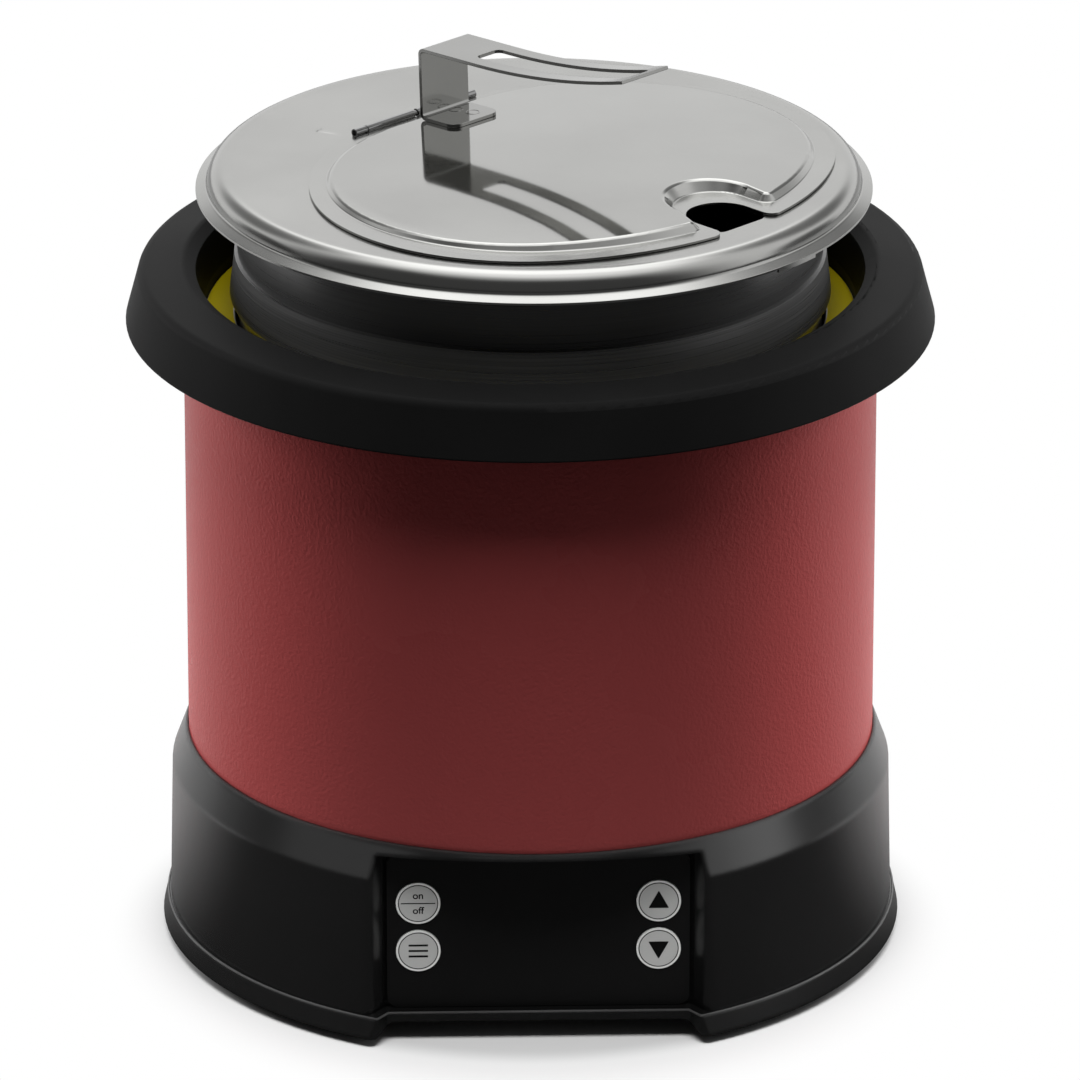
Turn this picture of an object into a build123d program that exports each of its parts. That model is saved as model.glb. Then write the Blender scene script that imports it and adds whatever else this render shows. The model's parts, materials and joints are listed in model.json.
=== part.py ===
"""Countertop induction soup kettle with an inset and a hinged lid, in millimetres.

The origin is the centre of the foot circle on the counter. +Z is up and the
control panel faces -Y. Every piece is a separate solid, written to its own file.
"""

import os
from math import asin, cos, radians, sin, sqrt, tan

from build123d import *

os.makedirs("parts", exist_ok=True)

# Clearances shared by the pieces
SEAT_GAP = 0.3  # between a lift-off piece and what it rests on
SLIP_GAP = 0.3  # round a piece that slips into another
RUNNING_GAP = 0.05  # radial, between a shaft and its bore
SCREW_GAP = 0.2  # radial, between a screw or rod and its hole

# Base pan: plate, skirt, ledge and the notch under the front
FOOT_GAP = 4.0  # air between the counter and the skirt
PAN_HEIGHT = 9.7  # from the skirt's lower edge to the ledge
PAN_PLATE = 3.0
SKIRT_WALL = 3.0
LEDGE_DRAFT = 2.1  # the skirt leans in by this much up to the ledge
FOOT_NOTCH_HEIGHT = 5.2
FOOT_NOTCH_HALF = 67.5  # half width at mid height
FOOT_NOTCH_SLANT = 7.0
FOOT_NOTCH_ROUND = 2.2
VENT_SLOT_WIDTH = 4.0
VENT_SLOT_SPACING = 8.0
FOOT_RADIUS = 11.0
FOOT_INSET = 32.7  # from the skirt's lower edge to the feet's circle
FOOT_STEM_RADIUS = 3.0

# Base housing: drafted wall, conical shoulder and the front pocket
LEDGE_WIDTH = 1.3  # flat of the ledge outside the wall
WALL_DRAFT = 1.5
WALL_HEIGHT = 63.8  # from the ledge to the crease
CREASE_ROUND = 5.0
SHOULDER_HEIGHT = 16.9  # from the crease to the shell
SHOULDER_WIDTH = 6.3  # how far the shoulder leans in
HOUSING_WALL = 3.0
SHELF_THICKNESS = 3.0
SHELF_WIDTH = 17.2
SHELL_LIP_HEIGHT = 1.8
SHELL_LIP_WALL = 0.8
POCKET_HALF_WIDTH = 67.8  # at the panel's face
POCKET_SIDE_ANGLE = 37.5  # from the way the panel faces
POCKET_CORNER_ROUND = 4.5
BROW_HEIGHT = 73.5  # pocket roof over the ledge, at the panel's face
BROW_ANGLE = 11.6  # the roof rises towards the front
LEDGE_POCKET_HALF = 65.8
LEDGE_DEPTH = 5.2  # from the panel's face to the ledge's front edge
BOSS_RADIUS = 5.0
BOSS_HEIGHT = 18.0
REAR_SLOT_HEIGHT = 32.0
REAR_SLOT_BASE = 24.0  # above the ledge
REAR_SLOT_STEP = 6.0  # degrees
REAR_SLOTS_PER_SIDE = 5
REAR_SLOT_START = 15.0  # degrees from the back

# Fasteners
SCREW_RADIUS = 1.7
SCREW_HEAD_RADIUS = 3.5
SCREW_HEAD_HEIGHT = 2.5
ROD_RADIUS = 2.0
ROD_HEAD_RADIUS = 4.0
ROD_HEAD_HEIGHT = 3.0
ROD_GRIP = 10.0  # how far the rod goes into the collar

# Cord gland at the back
GLAND_HEIGHT = 22.0  # above the ledge
GLAND_BORE_RADIUS = 4.0
GLAND_RADIUS = 7.5
GLAND_FLANGE_RADIUS = 11.0
GLAND_FLANGE = 5.0
GLAND_PAD = 6.0  # thickness of the flat pad it goes through
GLAND_REACH = 7.0  # past the pad
GLAND_NUT_RADIUS = 11.0
GLAND_NUT = 5.0

# Control panel and keys
PANEL_DEPTH = 26.8  # behind the housing's foot
PANEL_THICKNESS = 2.0
PANEL_ROUND = 5.0
KEY_RADIUS = 9.7
KEY_INSET = 15.4  # from the pocket's side to a column of keys
KEY_LOWER = 27.3  # above the ledge
KEY_ROW_SPACING = 22.6
KEY_PROUD = 0.5
KEY_CAP = 1.6
KEY_TRAVEL = 0.6
KEY_RING = 1.1  # width of the raised ring round the cap
KEY_GROOVE = 0.5
KEY_GROOVE_DEPTH = 0.3
PLUNGER_RADIUS = 2.5
PLUNGER_REACH = 0.4  # past the pocket's wall
SWITCH_SIZE = 6.0
SWITCH_BODY = 3.5
SWITCH_STEM = 1.3
SWITCH_STEM_RADIUS = 1.75
BOARD = 1.6
CONTROL_BOARD_HEIGHT = 58.0
BOARD_BOSS_RADIUS = 3.0
WINDOW_WIDTH = 52.0
WINDOW_HEIGHT = 22.0

# Shell and collar
SHELL_SPACE = 22.9  # from the well's inside to the shell's outside
SHELL_WALL = 1.2
SHELL_EXPOSED = 191.3  # painted height between the shoulder and the collar's edge
GASKET = 0.8
COLLAR_OVERHANG = 25.5
COLLAR_TAPER = 6.4  # the conical face leans in by this much
COLLAR_FACE_HEIGHT = 24.0
COLLAR_CROWN = 2.6
COLLAR_TOP_WIDTH = 19.0  # from the ridge to the inner slope
COLLAR_WALL = 3.0
COLLAR_RIDGE_ROUND = 4.5
COLLAR_RIM_ROUND = 4.0
COLLAR_EDGE_ROUND = 0.9
COLLAR_LIP_DROP = 3.1  # from the collar's top to the throat's edge
COLLAR_LIP_ROUND = 0.6
COLLAR_THROAT_LEAN = 3.6
COLLAR_THROAT_HEIGHT = 5.0  # upright part of the throat above the well's flange
COLLAR_RIB_HEIGHT = 16.0
COLLAR_LEDGE = 4.0  # inner ledge that carries the well
SHELL_SOCKET = 14.0  # how far the shell goes up into the collar

# Well
WELL_LEDGE_DROP = 23.8  # from the collar's top to the well's flange
WELL_CLEARANCE = 1.5  # round the inset's body
WELL_FLANGE_WIDTH = 13.3
WELL_WALL = 1.5
WELL_DEPTH = 159.8
WELL_FLOOR = 2.5
WELL_CORNER = 9.0
WELL_MOUTH_ROUND = 0.6
BAND_INSET = 0.3
BAND_THICKNESS = 0.4

# Coil stack under the well
PAD_THICKNESS = 2.0
PAD_MARGIN = 15.0  # outside the coil
COIL_OUTER_RADIUS = 105.0
COIL_INNER_RADIUS = 26.0
COIL_THICKNESS = 7.0
CARRIER_PLATE = 4.0
CARRIER_GAP = 2.9  # to the tie rods
CARRIER_SKIRT = 4.0
FERRITE_LENGTH = 66.0
FERRITE_WIDTH = 14.0
FERRITE_HEIGHT = 5.0
FERRITE_COUNT = 6
SENSOR_RADIUS = 8.0
SENSOR_FLANGE_RADIUS = 12.0
SENSOR_FLANGE = 3.0

# Power electronics on the pan
STANDOFF_HEIGHT = 11.0
STANDOFF_RADIUS = 3.5
POWER_BOARD_WIDTH = 170.0
POWER_BOARD_DEPTH = 84.0
POWER_BOARD_Y = -56.0
SINK_WIDTH = 84.0
SINK_DEPTH = 46.0
SINK_BASE = 6.0
SINK_HEIGHT = 34.0
SINK_FINS = 9
SINK_FIN = 2.0
TRANSISTOR_WIDTH = 16.0
TRANSISTOR_DEPTH = 5.0
TRANSISTOR_HEIGHT = 21.0
CAPACITOR_RADIUS = 9.0
CAPACITOR_HEIGHT = 32.0
CHOKE_RADIUS = 17.0
CHOKE_BORE = 8.0
CHOKE_HEIGHT = 15.0
RECTIFIER_WIDTH = 28.0
RECTIFIER_DEPTH = 6.0
RECTIFIER_HEIGHT = 20.0

# Cooling fan over the pan's vent
FAN_Y = 62.0
FAN_SIZE = 80.0
FAN_DEPTH = 25.0
FAN_BORE_RADIUS = 38.0
FAN_POST = 5.0  # the fan stands this high over the pan
FAN_POST_SPACING = 71.5
FAN_POST_RADIUS = 3.5
FAN_HUB_RADIUS = 17.0
FAN_HUB_WALL = 1.5
FAN_TIP_GAP = 1.0
FAN_BLADES = 7
FAN_BLADE = 1.6
FAN_BLADE_PITCH = 38.0  # degrees
FAN_BEARING_RADIUS = 4.0
FAN_SHAFT_RADIUS = 1.5
FAN_STRUT = 3.0

# Inset
INSET_DEPTH = 217.0
INSET_WALL = 0.8
INSET_BODY_RADIUS = 128.0
INSET_NECK_STEP = 0.4  # the neck is this much wider than the body
INSET_NECK_DROP = 28.4  # from the rim to the band
INSET_BAND_HEIGHT = 20.3
INSET_BAND_STEP = 4.0
INSET_BAND_TAPER = 2.3
INSET_CORNER = 24.0
INSET_FLARE = 7.0  # rounding between the neck and the rim
INSET_RIM_WIDTH = 16.6
BAND_ROUND = 1.2
DISC_THICKNESS = 3.0
DISC_INSET = 28.0  # from the inset's body to the disc's edge

# Lid cover
SHEET = 1.0
LID_OVERHANG = 2.9  # outside the inset's rim
LID_SHIFT = 1.6  # the lid lies loosely on the rim, a little to one side
LID_FLANGE = 5.0
LID_FLANGE_SLOPE = 20.0  # degrees, down towards the edge
LID_HEIGHT = 11.4
LID_SHOULDER_LEAN = 0.8
LID_SHOULDER_ROUND = 8.0
LID_FOOT_ROUND = 1.5
LID_TAB_WIDTH = 25.0
LID_TAB_DROP = 1.3
LID_TAB_ANGLE = -41.5
OPENING_OVERLAP = 16.0  # flange of the flap that rests on the cover
OPENING_LIP = 4.0  # from the flap's front edge to the opening, at the notch

# Flap, in its own frame: x runs from the hinge to the ladle notch
FLAP_ANGLE = -46.5
FLAP_OFFSET = 4.0  # the flap's axis passes this far beside the lid's
FLAP_BACK = -74.0
FLAP_FRONT = 125.5
FLAP_SIDE_CENTRE = 22.9
FLAP_SIDE_RADIUS = 92.4
FLAP_SIDE_OFFSET = 31.1
FLAP_TAIL_RADIUS = 112.0  # flatter arc that takes over towards the hinge
FLAP_TAIL_TURN = 60.0  # degrees from the flap's axis, where it takes over
STEP_HEIGHT = 3.2
STEP_ANGLE = 42.0
STEP_ROUND = 2.2
STEP_FOOT_ROUND = 1.0
PLATEAU_FRONT = 116.5
PLATEAU_SIDE = 1.7  # beside the flap's axis
PLATEAU_SIDE_CENTRE = 19.5
PLATEAU_SIDE_RADIUS = 88.0
PLATEAU_SIDE_OFFSET = 26.2
CROWN_RADIUS = 1800.0  # the plateau is slightly domed
NOTCH_RADIUS = 15.2
NOTCH_CENTRE = 107.7
NOTCH_SIDE = 4.5
NOTCH_LIP_ROUND = 5.0
NOTCH_MARGIN = 2.8  # the step's foot is this much wider than the notch
NOTCH_STEP_BACK = 9.2  # and its centre stands this far behind the notch's
NOTCH_STEP_SIDE = 5.2
NOTCH_STEP_FLARE = 0.4  # how fast its near side opens towards the front
NOTCH_STEP_ROUND = 5.0

# Hinge
HINGE_BEHIND = 2.6  # from the flap's back edge to the pin
PIN_RADIUS = 1.25
PIN_RECESS = 1.5  # each end stays this far inside its lug
KNUCKLE_WALL = 0.5
KNUCKLE_LENGTH = 28.4
KNUCKLE_SLOT = 2.4  # between the flap's two knuckles
LUG_LENGTH = 6.6
LUG_WALL = 0.6
LUG_GAP = 0.6

# Handle
HANDLE_SIDE = 5.0  # beside the flap's axis
HANDLE_WIDTH = 28.4
HANDLE_STRIP = 1.5
HANDLE_FOOT = 21.5
HANDLE_FOOT_ROUND = 5.0
HANDLE_HEIGHT = 33.1
HANDLE_BEND = 3.0
HANDLE_AHEAD = 10.8  # riser's back ahead of the flap's back edge
WELD_GAP = 0.05  # under the foot
GRIP_STRAIGHT = 36.0
GRIP_LENGTH = 126.7
GRIP_RISE_RADIUS = 390.0
GRIP_SLOT_START = 28.5
GRIP_SLOT_LENGTH = 94.0
GRIP_SLOT_WIDTH = 14.5
GRIP_SLOT_ROUND = 3.0

# Heights worked out from the sizes above, from the counter up
ledge = FOOT_GAP + PAN_HEIGHT
plate_under = ledge - PAN_PLATE
crease = ledge + WALL_HEIGHT
shoulder = crease + SHOULDER_HEIGHT
shelf = shoulder - SHELL_LIP_HEIGHT
shelf_under = shelf - SHELF_THICKNESS
shell_bottom = shelf + GASKET
collar_bottom = shoulder + SHELL_EXPOSED
collar_ridge = collar_bottom + COLLAR_FACE_HEIGHT
collar_top = collar_ridge + COLLAR_CROWN
shell_top = collar_bottom + SHELL_SOCKET
well_flange = collar_top - WELL_LEDGE_DROP
well_floor = well_flange - WELL_DEPTH
well_under = well_floor - WELL_FLOOR
inset_bottom = well_floor + SEAT_GAP
pot_bottom = inset_bottom + DISC_THICKNESS
inset_rim = inset_bottom + INSET_DEPTH
flange_slope = tan(radians(LID_FLANGE_SLOPE))
lid_bottom = inset_rim + SEAT_GAP - (LID_OVERHANG - LID_SHIFT) * flange_slope
lid_top = lid_bottom + LID_HEIGHT
flap_under = lid_top + SEAT_GAP
flap_top = flap_under + SHEET
plateau = flap_top + STEP_HEIGHT
knuckle_radius = PIN_RADIUS + RUNNING_GAP + KNUCKLE_WALL
pin_height = flap_under + knuckle_radius

# Radii, from the inset outwards
neck_radius = INSET_BODY_RADIUS + INSET_NECK_STEP
band_radius = INSET_BODY_RADIUS + INSET_BAND_STEP
rim_radius = neck_radius + INSET_RIM_WIDTH
lid_radius = rim_radius + LID_OVERHANG
well_radius = INSET_BODY_RADIUS + WELL_CLEARANCE
flange_radius = well_radius + WELL_FLANGE_WIDTH
throat_radius = flange_radius + SLIP_GAP
shell_radius = well_radius + SHELL_SPACE
shell_inner_radius = shell_radius - SHELL_WALL
groove_radius = shell_radius + SLIP_GAP
collar_radius = shell_radius + COLLAR_OVERHANG
ridge_radius = collar_radius - COLLAR_TAPER
shoulder_radius = groove_radius + SHELL_LIP_WALL
wall_top_radius = shoulder_radius + SHOULDER_WIDTH
wall_foot_radius = wall_top_radius + WALL_DRAFT
ledge_radius = wall_foot_radius + LEDGE_WIDTH
skirt_radius = ledge_radius + LEDGE_DRAFT
foot_circle = skirt_radius - FOOT_INSET

# Places worked out the same way
panel_face = wall_foot_radius - PANEL_DEPTH
rod_circle = shell_inner_radius - ROD_HEAD_RADIUS - SLIP_GAP
carrier_radius = rod_circle - ROD_RADIUS - CARRIER_GAP
screw_circle = wall_top_radius - HOUSING_WALL - 0.6 * BOSS_RADIUS
pocket_floor = panel_face - PANEL_THICKNESS
pocket_wall = pocket_floor - HOUSING_WALL
key_column = POCKET_HALF_WIDTH - KEY_INSET
key_places = {
    "key_on_off": (-key_column, ledge + KEY_LOWER + KEY_ROW_SPACING),
    "key_function": (-key_column, ledge + KEY_LOWER),
    "key_up": (key_column, ledge + KEY_LOWER + KEY_ROW_SPACING),
    "key_down": (key_column, ledge + KEY_LOWER),
}
FOUR_CORNERS = 45.0  # feet, screws and rods stand at these angles


def save(builder, name):
    """Label a finished piece and write it to its own file."""
    builder.part.label = name
    export_step(builder.part, f"parts/{name}.step")


def pocket_plan(half_width, face, floor, outer_radius, corner):
    """Plan of a pocket in a round wall, with its two mouth corners rounded."""
    mouth = outer_radius + 4 * corner
    slope = tan(radians(POCKET_SIDE_ANGLE))

    def half_at(distance):
        return half_width + (distance - face) * slope

    with BuildSketch() as opening:
        with BuildLine():
            Polyline(
                (-half_at(floor), -floor),
                (half_at(floor), -floor),
                (half_at(mouth), -mouth),
                (-half_at(mouth), -mouth),
                close=True,
            )
        make_face()
    with BuildSketch() as rim:
        Circle(outer_radius)
        add(opening.sketch, mode=Mode.SUBTRACT)
        fillet(rim.vertices().sort_by(Axis.Y)[:2], corner)
    with BuildSketch() as plan:
        add(opening.sketch)
        with Locations((0, -mouth)):
            Rectangle(2 * half_at(mouth), 2 * (mouth - face))
        add(rim.sketch, mode=Mode.SUBTRACT)
    return plan.sketch


def pocket_space(margin, corner):
    """The front pocket's space under its brow, grown by a margin."""
    plan = pocket_plan(
        POCKET_HALF_WIDTH + margin, panel_face, pocket_floor - margin, wall_foot_radius + margin, corner
    )
    brow = Plane(
        origin=(0, -panel_face, ledge + BROW_HEIGHT + margin),
        x_dir=(1, 0, 0),
        z_dir=(0, sin(radians(BROW_ANGLE)), cos(radians(BROW_ANGLE))),
    )
    with BuildPart() as space:
        with BuildSketch(Plane.XY.offset(ledge - margin)):
            add(plan)
        extrude(amount=WALL_HEIGHT + SHOULDER_HEIGHT + 2 * margin)
        split(bisect_by=brow, keep=Keep.BOTTOM)
    return space.part


def lug_blank(radius, length, middle):
    """Round-topped block along the hinge, for a lug on the lid."""
    with BuildPart() as blank:
        with BuildSketch(hinge_plane.offset(middle)):
            Circle(radius)
            with Locations((0, (lid_top - SHEET / 2 - pin_height) / 2)):
                Rectangle(2 * PIN_RADIUS, pin_height - lid_top + SHEET / 2)
        extrude(amount=length / 2, both=True)
    return blank.part


# Base pan
with BuildPart() as pan_hollow:
    with BuildSketch(Plane.XY.offset(FOOT_GAP)):
        Circle(skirt_radius - LEDGE_DRAFT - SKIRT_WALL)
        add(
            pocket_plan(
                LEDGE_POCKET_HALF + SKIRT_WALL,
                panel_face + LEDGE_DEPTH,
                panel_face + LEDGE_DEPTH - SKIRT_WALL,
                skirt_radius,
                POCKET_CORNER_ROUND,
            ),
            mode=Mode.SUBTRACT,
        )
    extrude(amount=PAN_HEIGHT - PAN_PLATE)

with BuildPart() as base_pan:
    with BuildSketch(Plane.XZ):
        with BuildLine():
            Polyline(
                (0, FOOT_GAP),
                (skirt_radius, FOOT_GAP),
                (ledge_radius, ledge),
                (0, ledge),
                close=True,
            )
        make_face()
    revolve(axis=Axis.Z)
    with BuildSketch(Plane.XY.offset(FOOT_GAP)):
        add(
            pocket_plan(
                LEDGE_POCKET_HALF,
                panel_face + LEDGE_DEPTH,
                panel_face + LEDGE_DEPTH,
                skirt_radius,
                POCKET_CORNER_ROUND,
            )
        )
    extrude(amount=PAN_HEIGHT, mode=Mode.SUBTRACT)
    add(pan_hollow.part, mode=Mode.SUBTRACT)
    # The notch under the front edge, with slanted and rounded ends
    with BuildSketch(Plane.XZ.offset(panel_face)):
        with BuildLine():
            FilletPolyline(
                (-skirt_radius, FOOT_GAP),
                (-FOOT_NOTCH_HALF - FOOT_NOTCH_SLANT / 2, FOOT_GAP),
                (-FOOT_NOTCH_HALF + FOOT_NOTCH_SLANT / 2, FOOT_GAP + FOOT_NOTCH_HEIGHT),
                (FOOT_NOTCH_HALF - FOOT_NOTCH_SLANT / 2, FOOT_GAP + FOOT_NOTCH_HEIGHT),
                (FOOT_NOTCH_HALF + FOOT_NOTCH_SLANT / 2, FOOT_GAP),
                (skirt_radius, FOOT_GAP),
                (skirt_radius, FOOT_GAP - FOOT_NOTCH_HEIGHT),
                (-skirt_radius, FOOT_GAP - FOOT_NOTCH_HEIGHT),
                radius=[FOOT_NOTCH_ROUND] * 4 + [0] * 4,
                close=True,
            )
        make_face()
    extrude(amount=skirt_radius, mode=Mode.SUBTRACT)
    # Air inlet under the fan
    with BuildSketch(Plane.XY.offset(plate_under)):
        with Locations((0, FAN_Y)):
            with GridLocations(0, VENT_SLOT_SPACING, 1, int(2 * FAN_BORE_RADIUS / VENT_SLOT_SPACING) - 1):
                SlotOverall(1.6 * FAN_BORE_RADIUS, VENT_SLOT_WIDTH)
    extrude(amount=PAN_PLATE, mode=Mode.SUBTRACT)
    with BuildSketch(Plane.XY.offset(plate_under)):
        with PolarLocations(screw_circle, 4, start_angle=FOUR_CORNERS):
            Circle(SCREW_RADIUS + SCREW_GAP)
        with PolarLocations(foot_circle, 4, start_angle=FOUR_CORNERS):
            Circle(FOOT_STEM_RADIUS + SCREW_GAP)
    extrude(amount=PAN_PLATE, mode=Mode.SUBTRACT)
save(base_pan, "base_pan")

with BuildPart() as rubber_feet:
    with PolarLocations(foot_circle, 4, start_angle=FOUR_CORNERS):
        Cylinder(FOOT_RADIUS, plate_under, align=(Align.CENTER, Align.CENTER, Align.MIN))
        with Locations((0, 0, plate_under)):
            Cylinder(
                FOOT_STEM_RADIUS,
                PAN_PLATE + FOOT_STEM_RADIUS,
                align=(Align.CENTER, Align.CENTER, Align.MIN),
            )
    chamfer(rubber_feet.faces().filter_by(Axis.Z).group_by(Axis.Z)[0].edges(), FOOT_RADIUS / 8)
save(rubber_feet, "rubber_feet")

# Base housing
shoulder_lean = (wall_top_radius - shoulder_radius) / SHOULDER_HEIGHT
cavity_top_radius = wall_top_radius - shoulder_lean * (shelf_under - crease) - HOUSING_WALL
with BuildPart() as housing_cavity:
    with BuildSketch(Plane.XZ):
        with BuildLine():
            Polyline(
                (0, ledge),
                (wall_foot_radius - HOUSING_WALL, ledge),
                (wall_top_radius - HOUSING_WALL, crease - HOUSING_WALL / 3),
                (cavity_top_radius, shelf_under),
                (0, shelf_under),
                close=True,
            )
        make_face()
    revolve(axis=Axis.Z)
    add(pocket_space(HOUSING_WALL, POCKET_CORNER_ROUND), mode=Mode.SUBTRACT)

switch_front = pocket_wall - PLUNGER_REACH - KEY_TRAVEL - SCREW_GAP
control_board_front = switch_front - SWITCH_STEM - SWITCH_BODY
board_middle = ledge + KEY_LOWER + KEY_ROW_SPACING / 2
board_holes = [
    (side * (key_column + 2 * SWITCH_SIZE), board_middle + end * (CONTROL_BOARD_HEIGHT / 2 - SWITCH_SIZE))
    for side in (-1, 1)
    for end in (-1, 1)
]
gland_plane = Plane(
    origin=(0, wall_foot_radius, ledge + GLAND_HEIGHT), x_dir=(-1, 0, 0), z_dir=(0, 1, 0)
)
inside_pocket = Plane(origin=(0, -pocket_wall, 0), x_dir=(-1, 0, 0), z_dir=(0, 1, 0))

with BuildPart() as base_housing:
    with BuildSketch(Plane.XZ):
        with BuildLine():
            FilletPolyline(
                (0, ledge),
                (wall_foot_radius, ledge),
                (wall_top_radius, crease),
                (shoulder_radius, shoulder),
                (groove_radius, shoulder),
                (groove_radius, shelf),
                (0, shelf),
                radius=[0, 0, CREASE_ROUND, 0, 0, 0, 0],
                close=True,
            )
        make_face()
    revolve(axis=Axis.Z)
    add(pocket_space(0, POCKET_CORNER_ROUND), mode=Mode.SUBTRACT)
    add(housing_cavity.part, mode=Mode.SUBTRACT)
    with BuildSketch(Plane.XY.offset(shelf_under)):
        Circle(shell_inner_radius - SHELF_WIDTH)
    extrude(amount=SHELF_THICKNESS, mode=Mode.SUBTRACT)
    # Bosses for the base screws, run into the wall
    with BuildSketch(Plane.XY.offset(ledge)):
        with PolarLocations(screw_circle, 4, start_angle=FOUR_CORNERS):
            Circle(BOSS_RADIUS)
    extrude(amount=BOSS_HEIGHT)
    with BuildSketch(Plane.XY.offset(ledge)):
        with PolarLocations(screw_circle, 4, start_angle=FOUR_CORNERS):
            Circle(SCREW_RADIUS + SCREW_GAP)
    extrude(amount=BOSS_HEIGHT - HOUSING_WALL, mode=Mode.SUBTRACT)
    # Bosses for the control board behind the pocket
    with BuildSketch(inside_pocket):
        with Locations(*[(-x, z) for x, z in board_holes]):
            Circle(BOARD_BOSS_RADIUS)
    extrude(amount=pocket_wall - control_board_front)
    # Key plungers and display window pass through the pocket's back wall
    with BuildSketch(inside_pocket):
        with Locations(*[(-x, z) for x, z in key_places.values()]):
            Circle(PLUNGER_RADIUS + SLIP_GAP)
        with Locations((0, board_middle)):
            Rectangle(WINDOW_WIDTH, WINDOW_HEIGHT)
    extrude(amount=-HOUSING_WALL, mode=Mode.SUBTRACT)
    # Rod holes in the shelf, air slots and the gland's hole at the back
    with BuildSketch(Plane.XY.offset(shelf_under)):
        with PolarLocations(rod_circle, 4, start_angle=FOUR_CORNERS):
            Circle(ROD_RADIUS + SCREW_GAP)
    extrude(amount=SHELF_THICKNESS, mode=Mode.SUBTRACT)
    for side in (-1, 1):
        for index in range(REAR_SLOTS_PER_SIDE):
            turn = side * (REAR_SLOT_START + REAR_SLOT_STEP * index)
            slot_plane = Plane.XZ.rotated((0, 0, turn)).offset(-wall_foot_radius - HOUSING_WALL)
            with BuildSketch(slot_plane):
                with Locations((0, ledge + REAR_SLOT_BASE + REAR_SLOT_HEIGHT / 2)):
                    SlotOverall(REAR_SLOT_HEIGHT, VENT_SLOT_WIDTH, rotation=90)
            extrude(amount=4 * HOUSING_WALL, mode=Mode.SUBTRACT)
    # Flat pad through the wall for the gland
    with BuildSketch(gland_plane):
        Circle(GLAND_FLANGE_RADIUS + HOUSING_WALL)
    extrude(amount=-GLAND_PAD)
    with BuildSketch(gland_plane):
        Circle(GLAND_RADIUS + SCREW_GAP)
    extrude(amount=-GLAND_PAD, mode=Mode.SUBTRACT)
save(base_housing, "base_housing")

with BuildPart() as base_screws:
    with PolarLocations(screw_circle, 4, start_angle=FOUR_CORNERS):
        with Locations((0, 0, plate_under)):
            Cylinder(
                SCREW_HEAD_RADIUS, SCREW_HEAD_HEIGHT, align=(Align.CENTER, Align.CENTER, Align.MAX)
            )
            Cylinder(
                SCREW_RADIUS,
                PAN_PLATE + BOSS_HEIGHT - 2 * HOUSING_WALL,
                align=(Align.CENTER, Align.CENTER, Align.MIN),
            )
save(base_screws, "base_screws")

# Cord gland: a flanged bush and its nut
with BuildPart() as cord_gland:
    with BuildSketch(gland_plane):
        Circle(GLAND_FLANGE_RADIUS)
        Circle(GLAND_BORE_RADIUS, mode=Mode.SUBTRACT)
    extrude(amount=GLAND_FLANGE)
    chamfer(cord_gland.faces().sort_by(Axis.Y)[-1].outer_wire().edges(), GLAND_FLANGE / 3)
    with BuildSketch(gland_plane):
        Circle(GLAND_RADIUS)
        Circle(GLAND_BORE_RADIUS, mode=Mode.SUBTRACT)
    extrude(amount=-GLAND_PAD - GLAND_REACH)
save(cord_gland, "cord_gland")

with BuildPart() as gland_nut:
    with BuildSketch(gland_plane.offset(-GLAND_PAD)):
        RegularPolygon(GLAND_NUT_RADIUS, 6)
        Circle(GLAND_RADIUS + RUNNING_GAP, mode=Mode.SUBTRACT)
    extrude(amount=-GLAND_NUT)
save(gland_nut, "gland_nut")

# Control panel, keys and the board behind them
panel_bottom = ledge + SLIP_GAP
panel_top = ledge + BROW_HEIGHT - 2 * SLIP_GAP
panel_plane = Plane(origin=(0, -panel_face, 0), x_dir=(1, 0, 0), z_dir=(0, -1, 0))
panel_half = POCKET_HALF_WIDTH - PANEL_THICKNESS * tan(radians(POCKET_SIDE_ANGLE)) - SLIP_GAP
with BuildPart() as control_panel:
    with BuildSketch(panel_plane):
        with Locations((0, (panel_bottom + panel_top) / 2)):
            RectangleRounded(2 * panel_half, panel_top - panel_bottom, PANEL_ROUND)
        with Locations(*key_places.values()):
            Circle(KEY_RADIUS + SLIP_GAP, mode=Mode.SUBTRACT)
    extrude(amount=-PANEL_THICKNESS)
save(control_panel, "control_panel")

for key_name, place in key_places.items():
    with BuildPart() as key:
        with BuildSketch(panel_plane.offset(KEY_PROUD)):
            with Locations(place):
                Circle(KEY_RADIUS)
        extrude(amount=-KEY_CAP)
        with BuildSketch(panel_plane.offset(KEY_PROUD)):
            with Locations(place):
                Circle(KEY_RADIUS - KEY_RING)
                Circle(KEY_RADIUS - KEY_RING - KEY_GROOVE, mode=Mode.SUBTRACT)
        extrude(amount=-KEY_GROOVE_DEPTH, mode=Mode.SUBTRACT)
        with BuildSketch(panel_plane.offset(KEY_PROUD - KEY_CAP)):
            with Locations(place):
                Circle(PLUNGER_RADIUS)
        extrude(amount=pocket_wall - panel_face - PLUNGER_REACH - KEY_PROUD + KEY_CAP)
    save(key, key_name)

board_plane = Plane(origin=(0, -control_board_front, 0), x_dir=(1, 0, 0), z_dir=(0, -1, 0))
board_half = key_column + 3 * SWITCH_SIZE
with BuildPart() as control_board:
    with BuildSketch(board_plane):
        with Locations((0, board_middle)):
            Rectangle(2 * board_half, CONTROL_BOARD_HEIGHT)
    extrude(amount=-BOARD)
save(control_board, "control_board")

with BuildPart() as key_switches:
    with BuildSketch(board_plane):
        with Locations(*key_places.values()):
            Rectangle(SWITCH_SIZE, SWITCH_SIZE)
    extrude(amount=SWITCH_BODY)
    with BuildSketch(board_plane):
        with Locations(*key_places.values()):
            Circle(SWITCH_STEM_RADIUS)
    extrude(amount=SWITCH_BODY + SWITCH_STEM)
save(key_switches, "key_switches")

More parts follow.
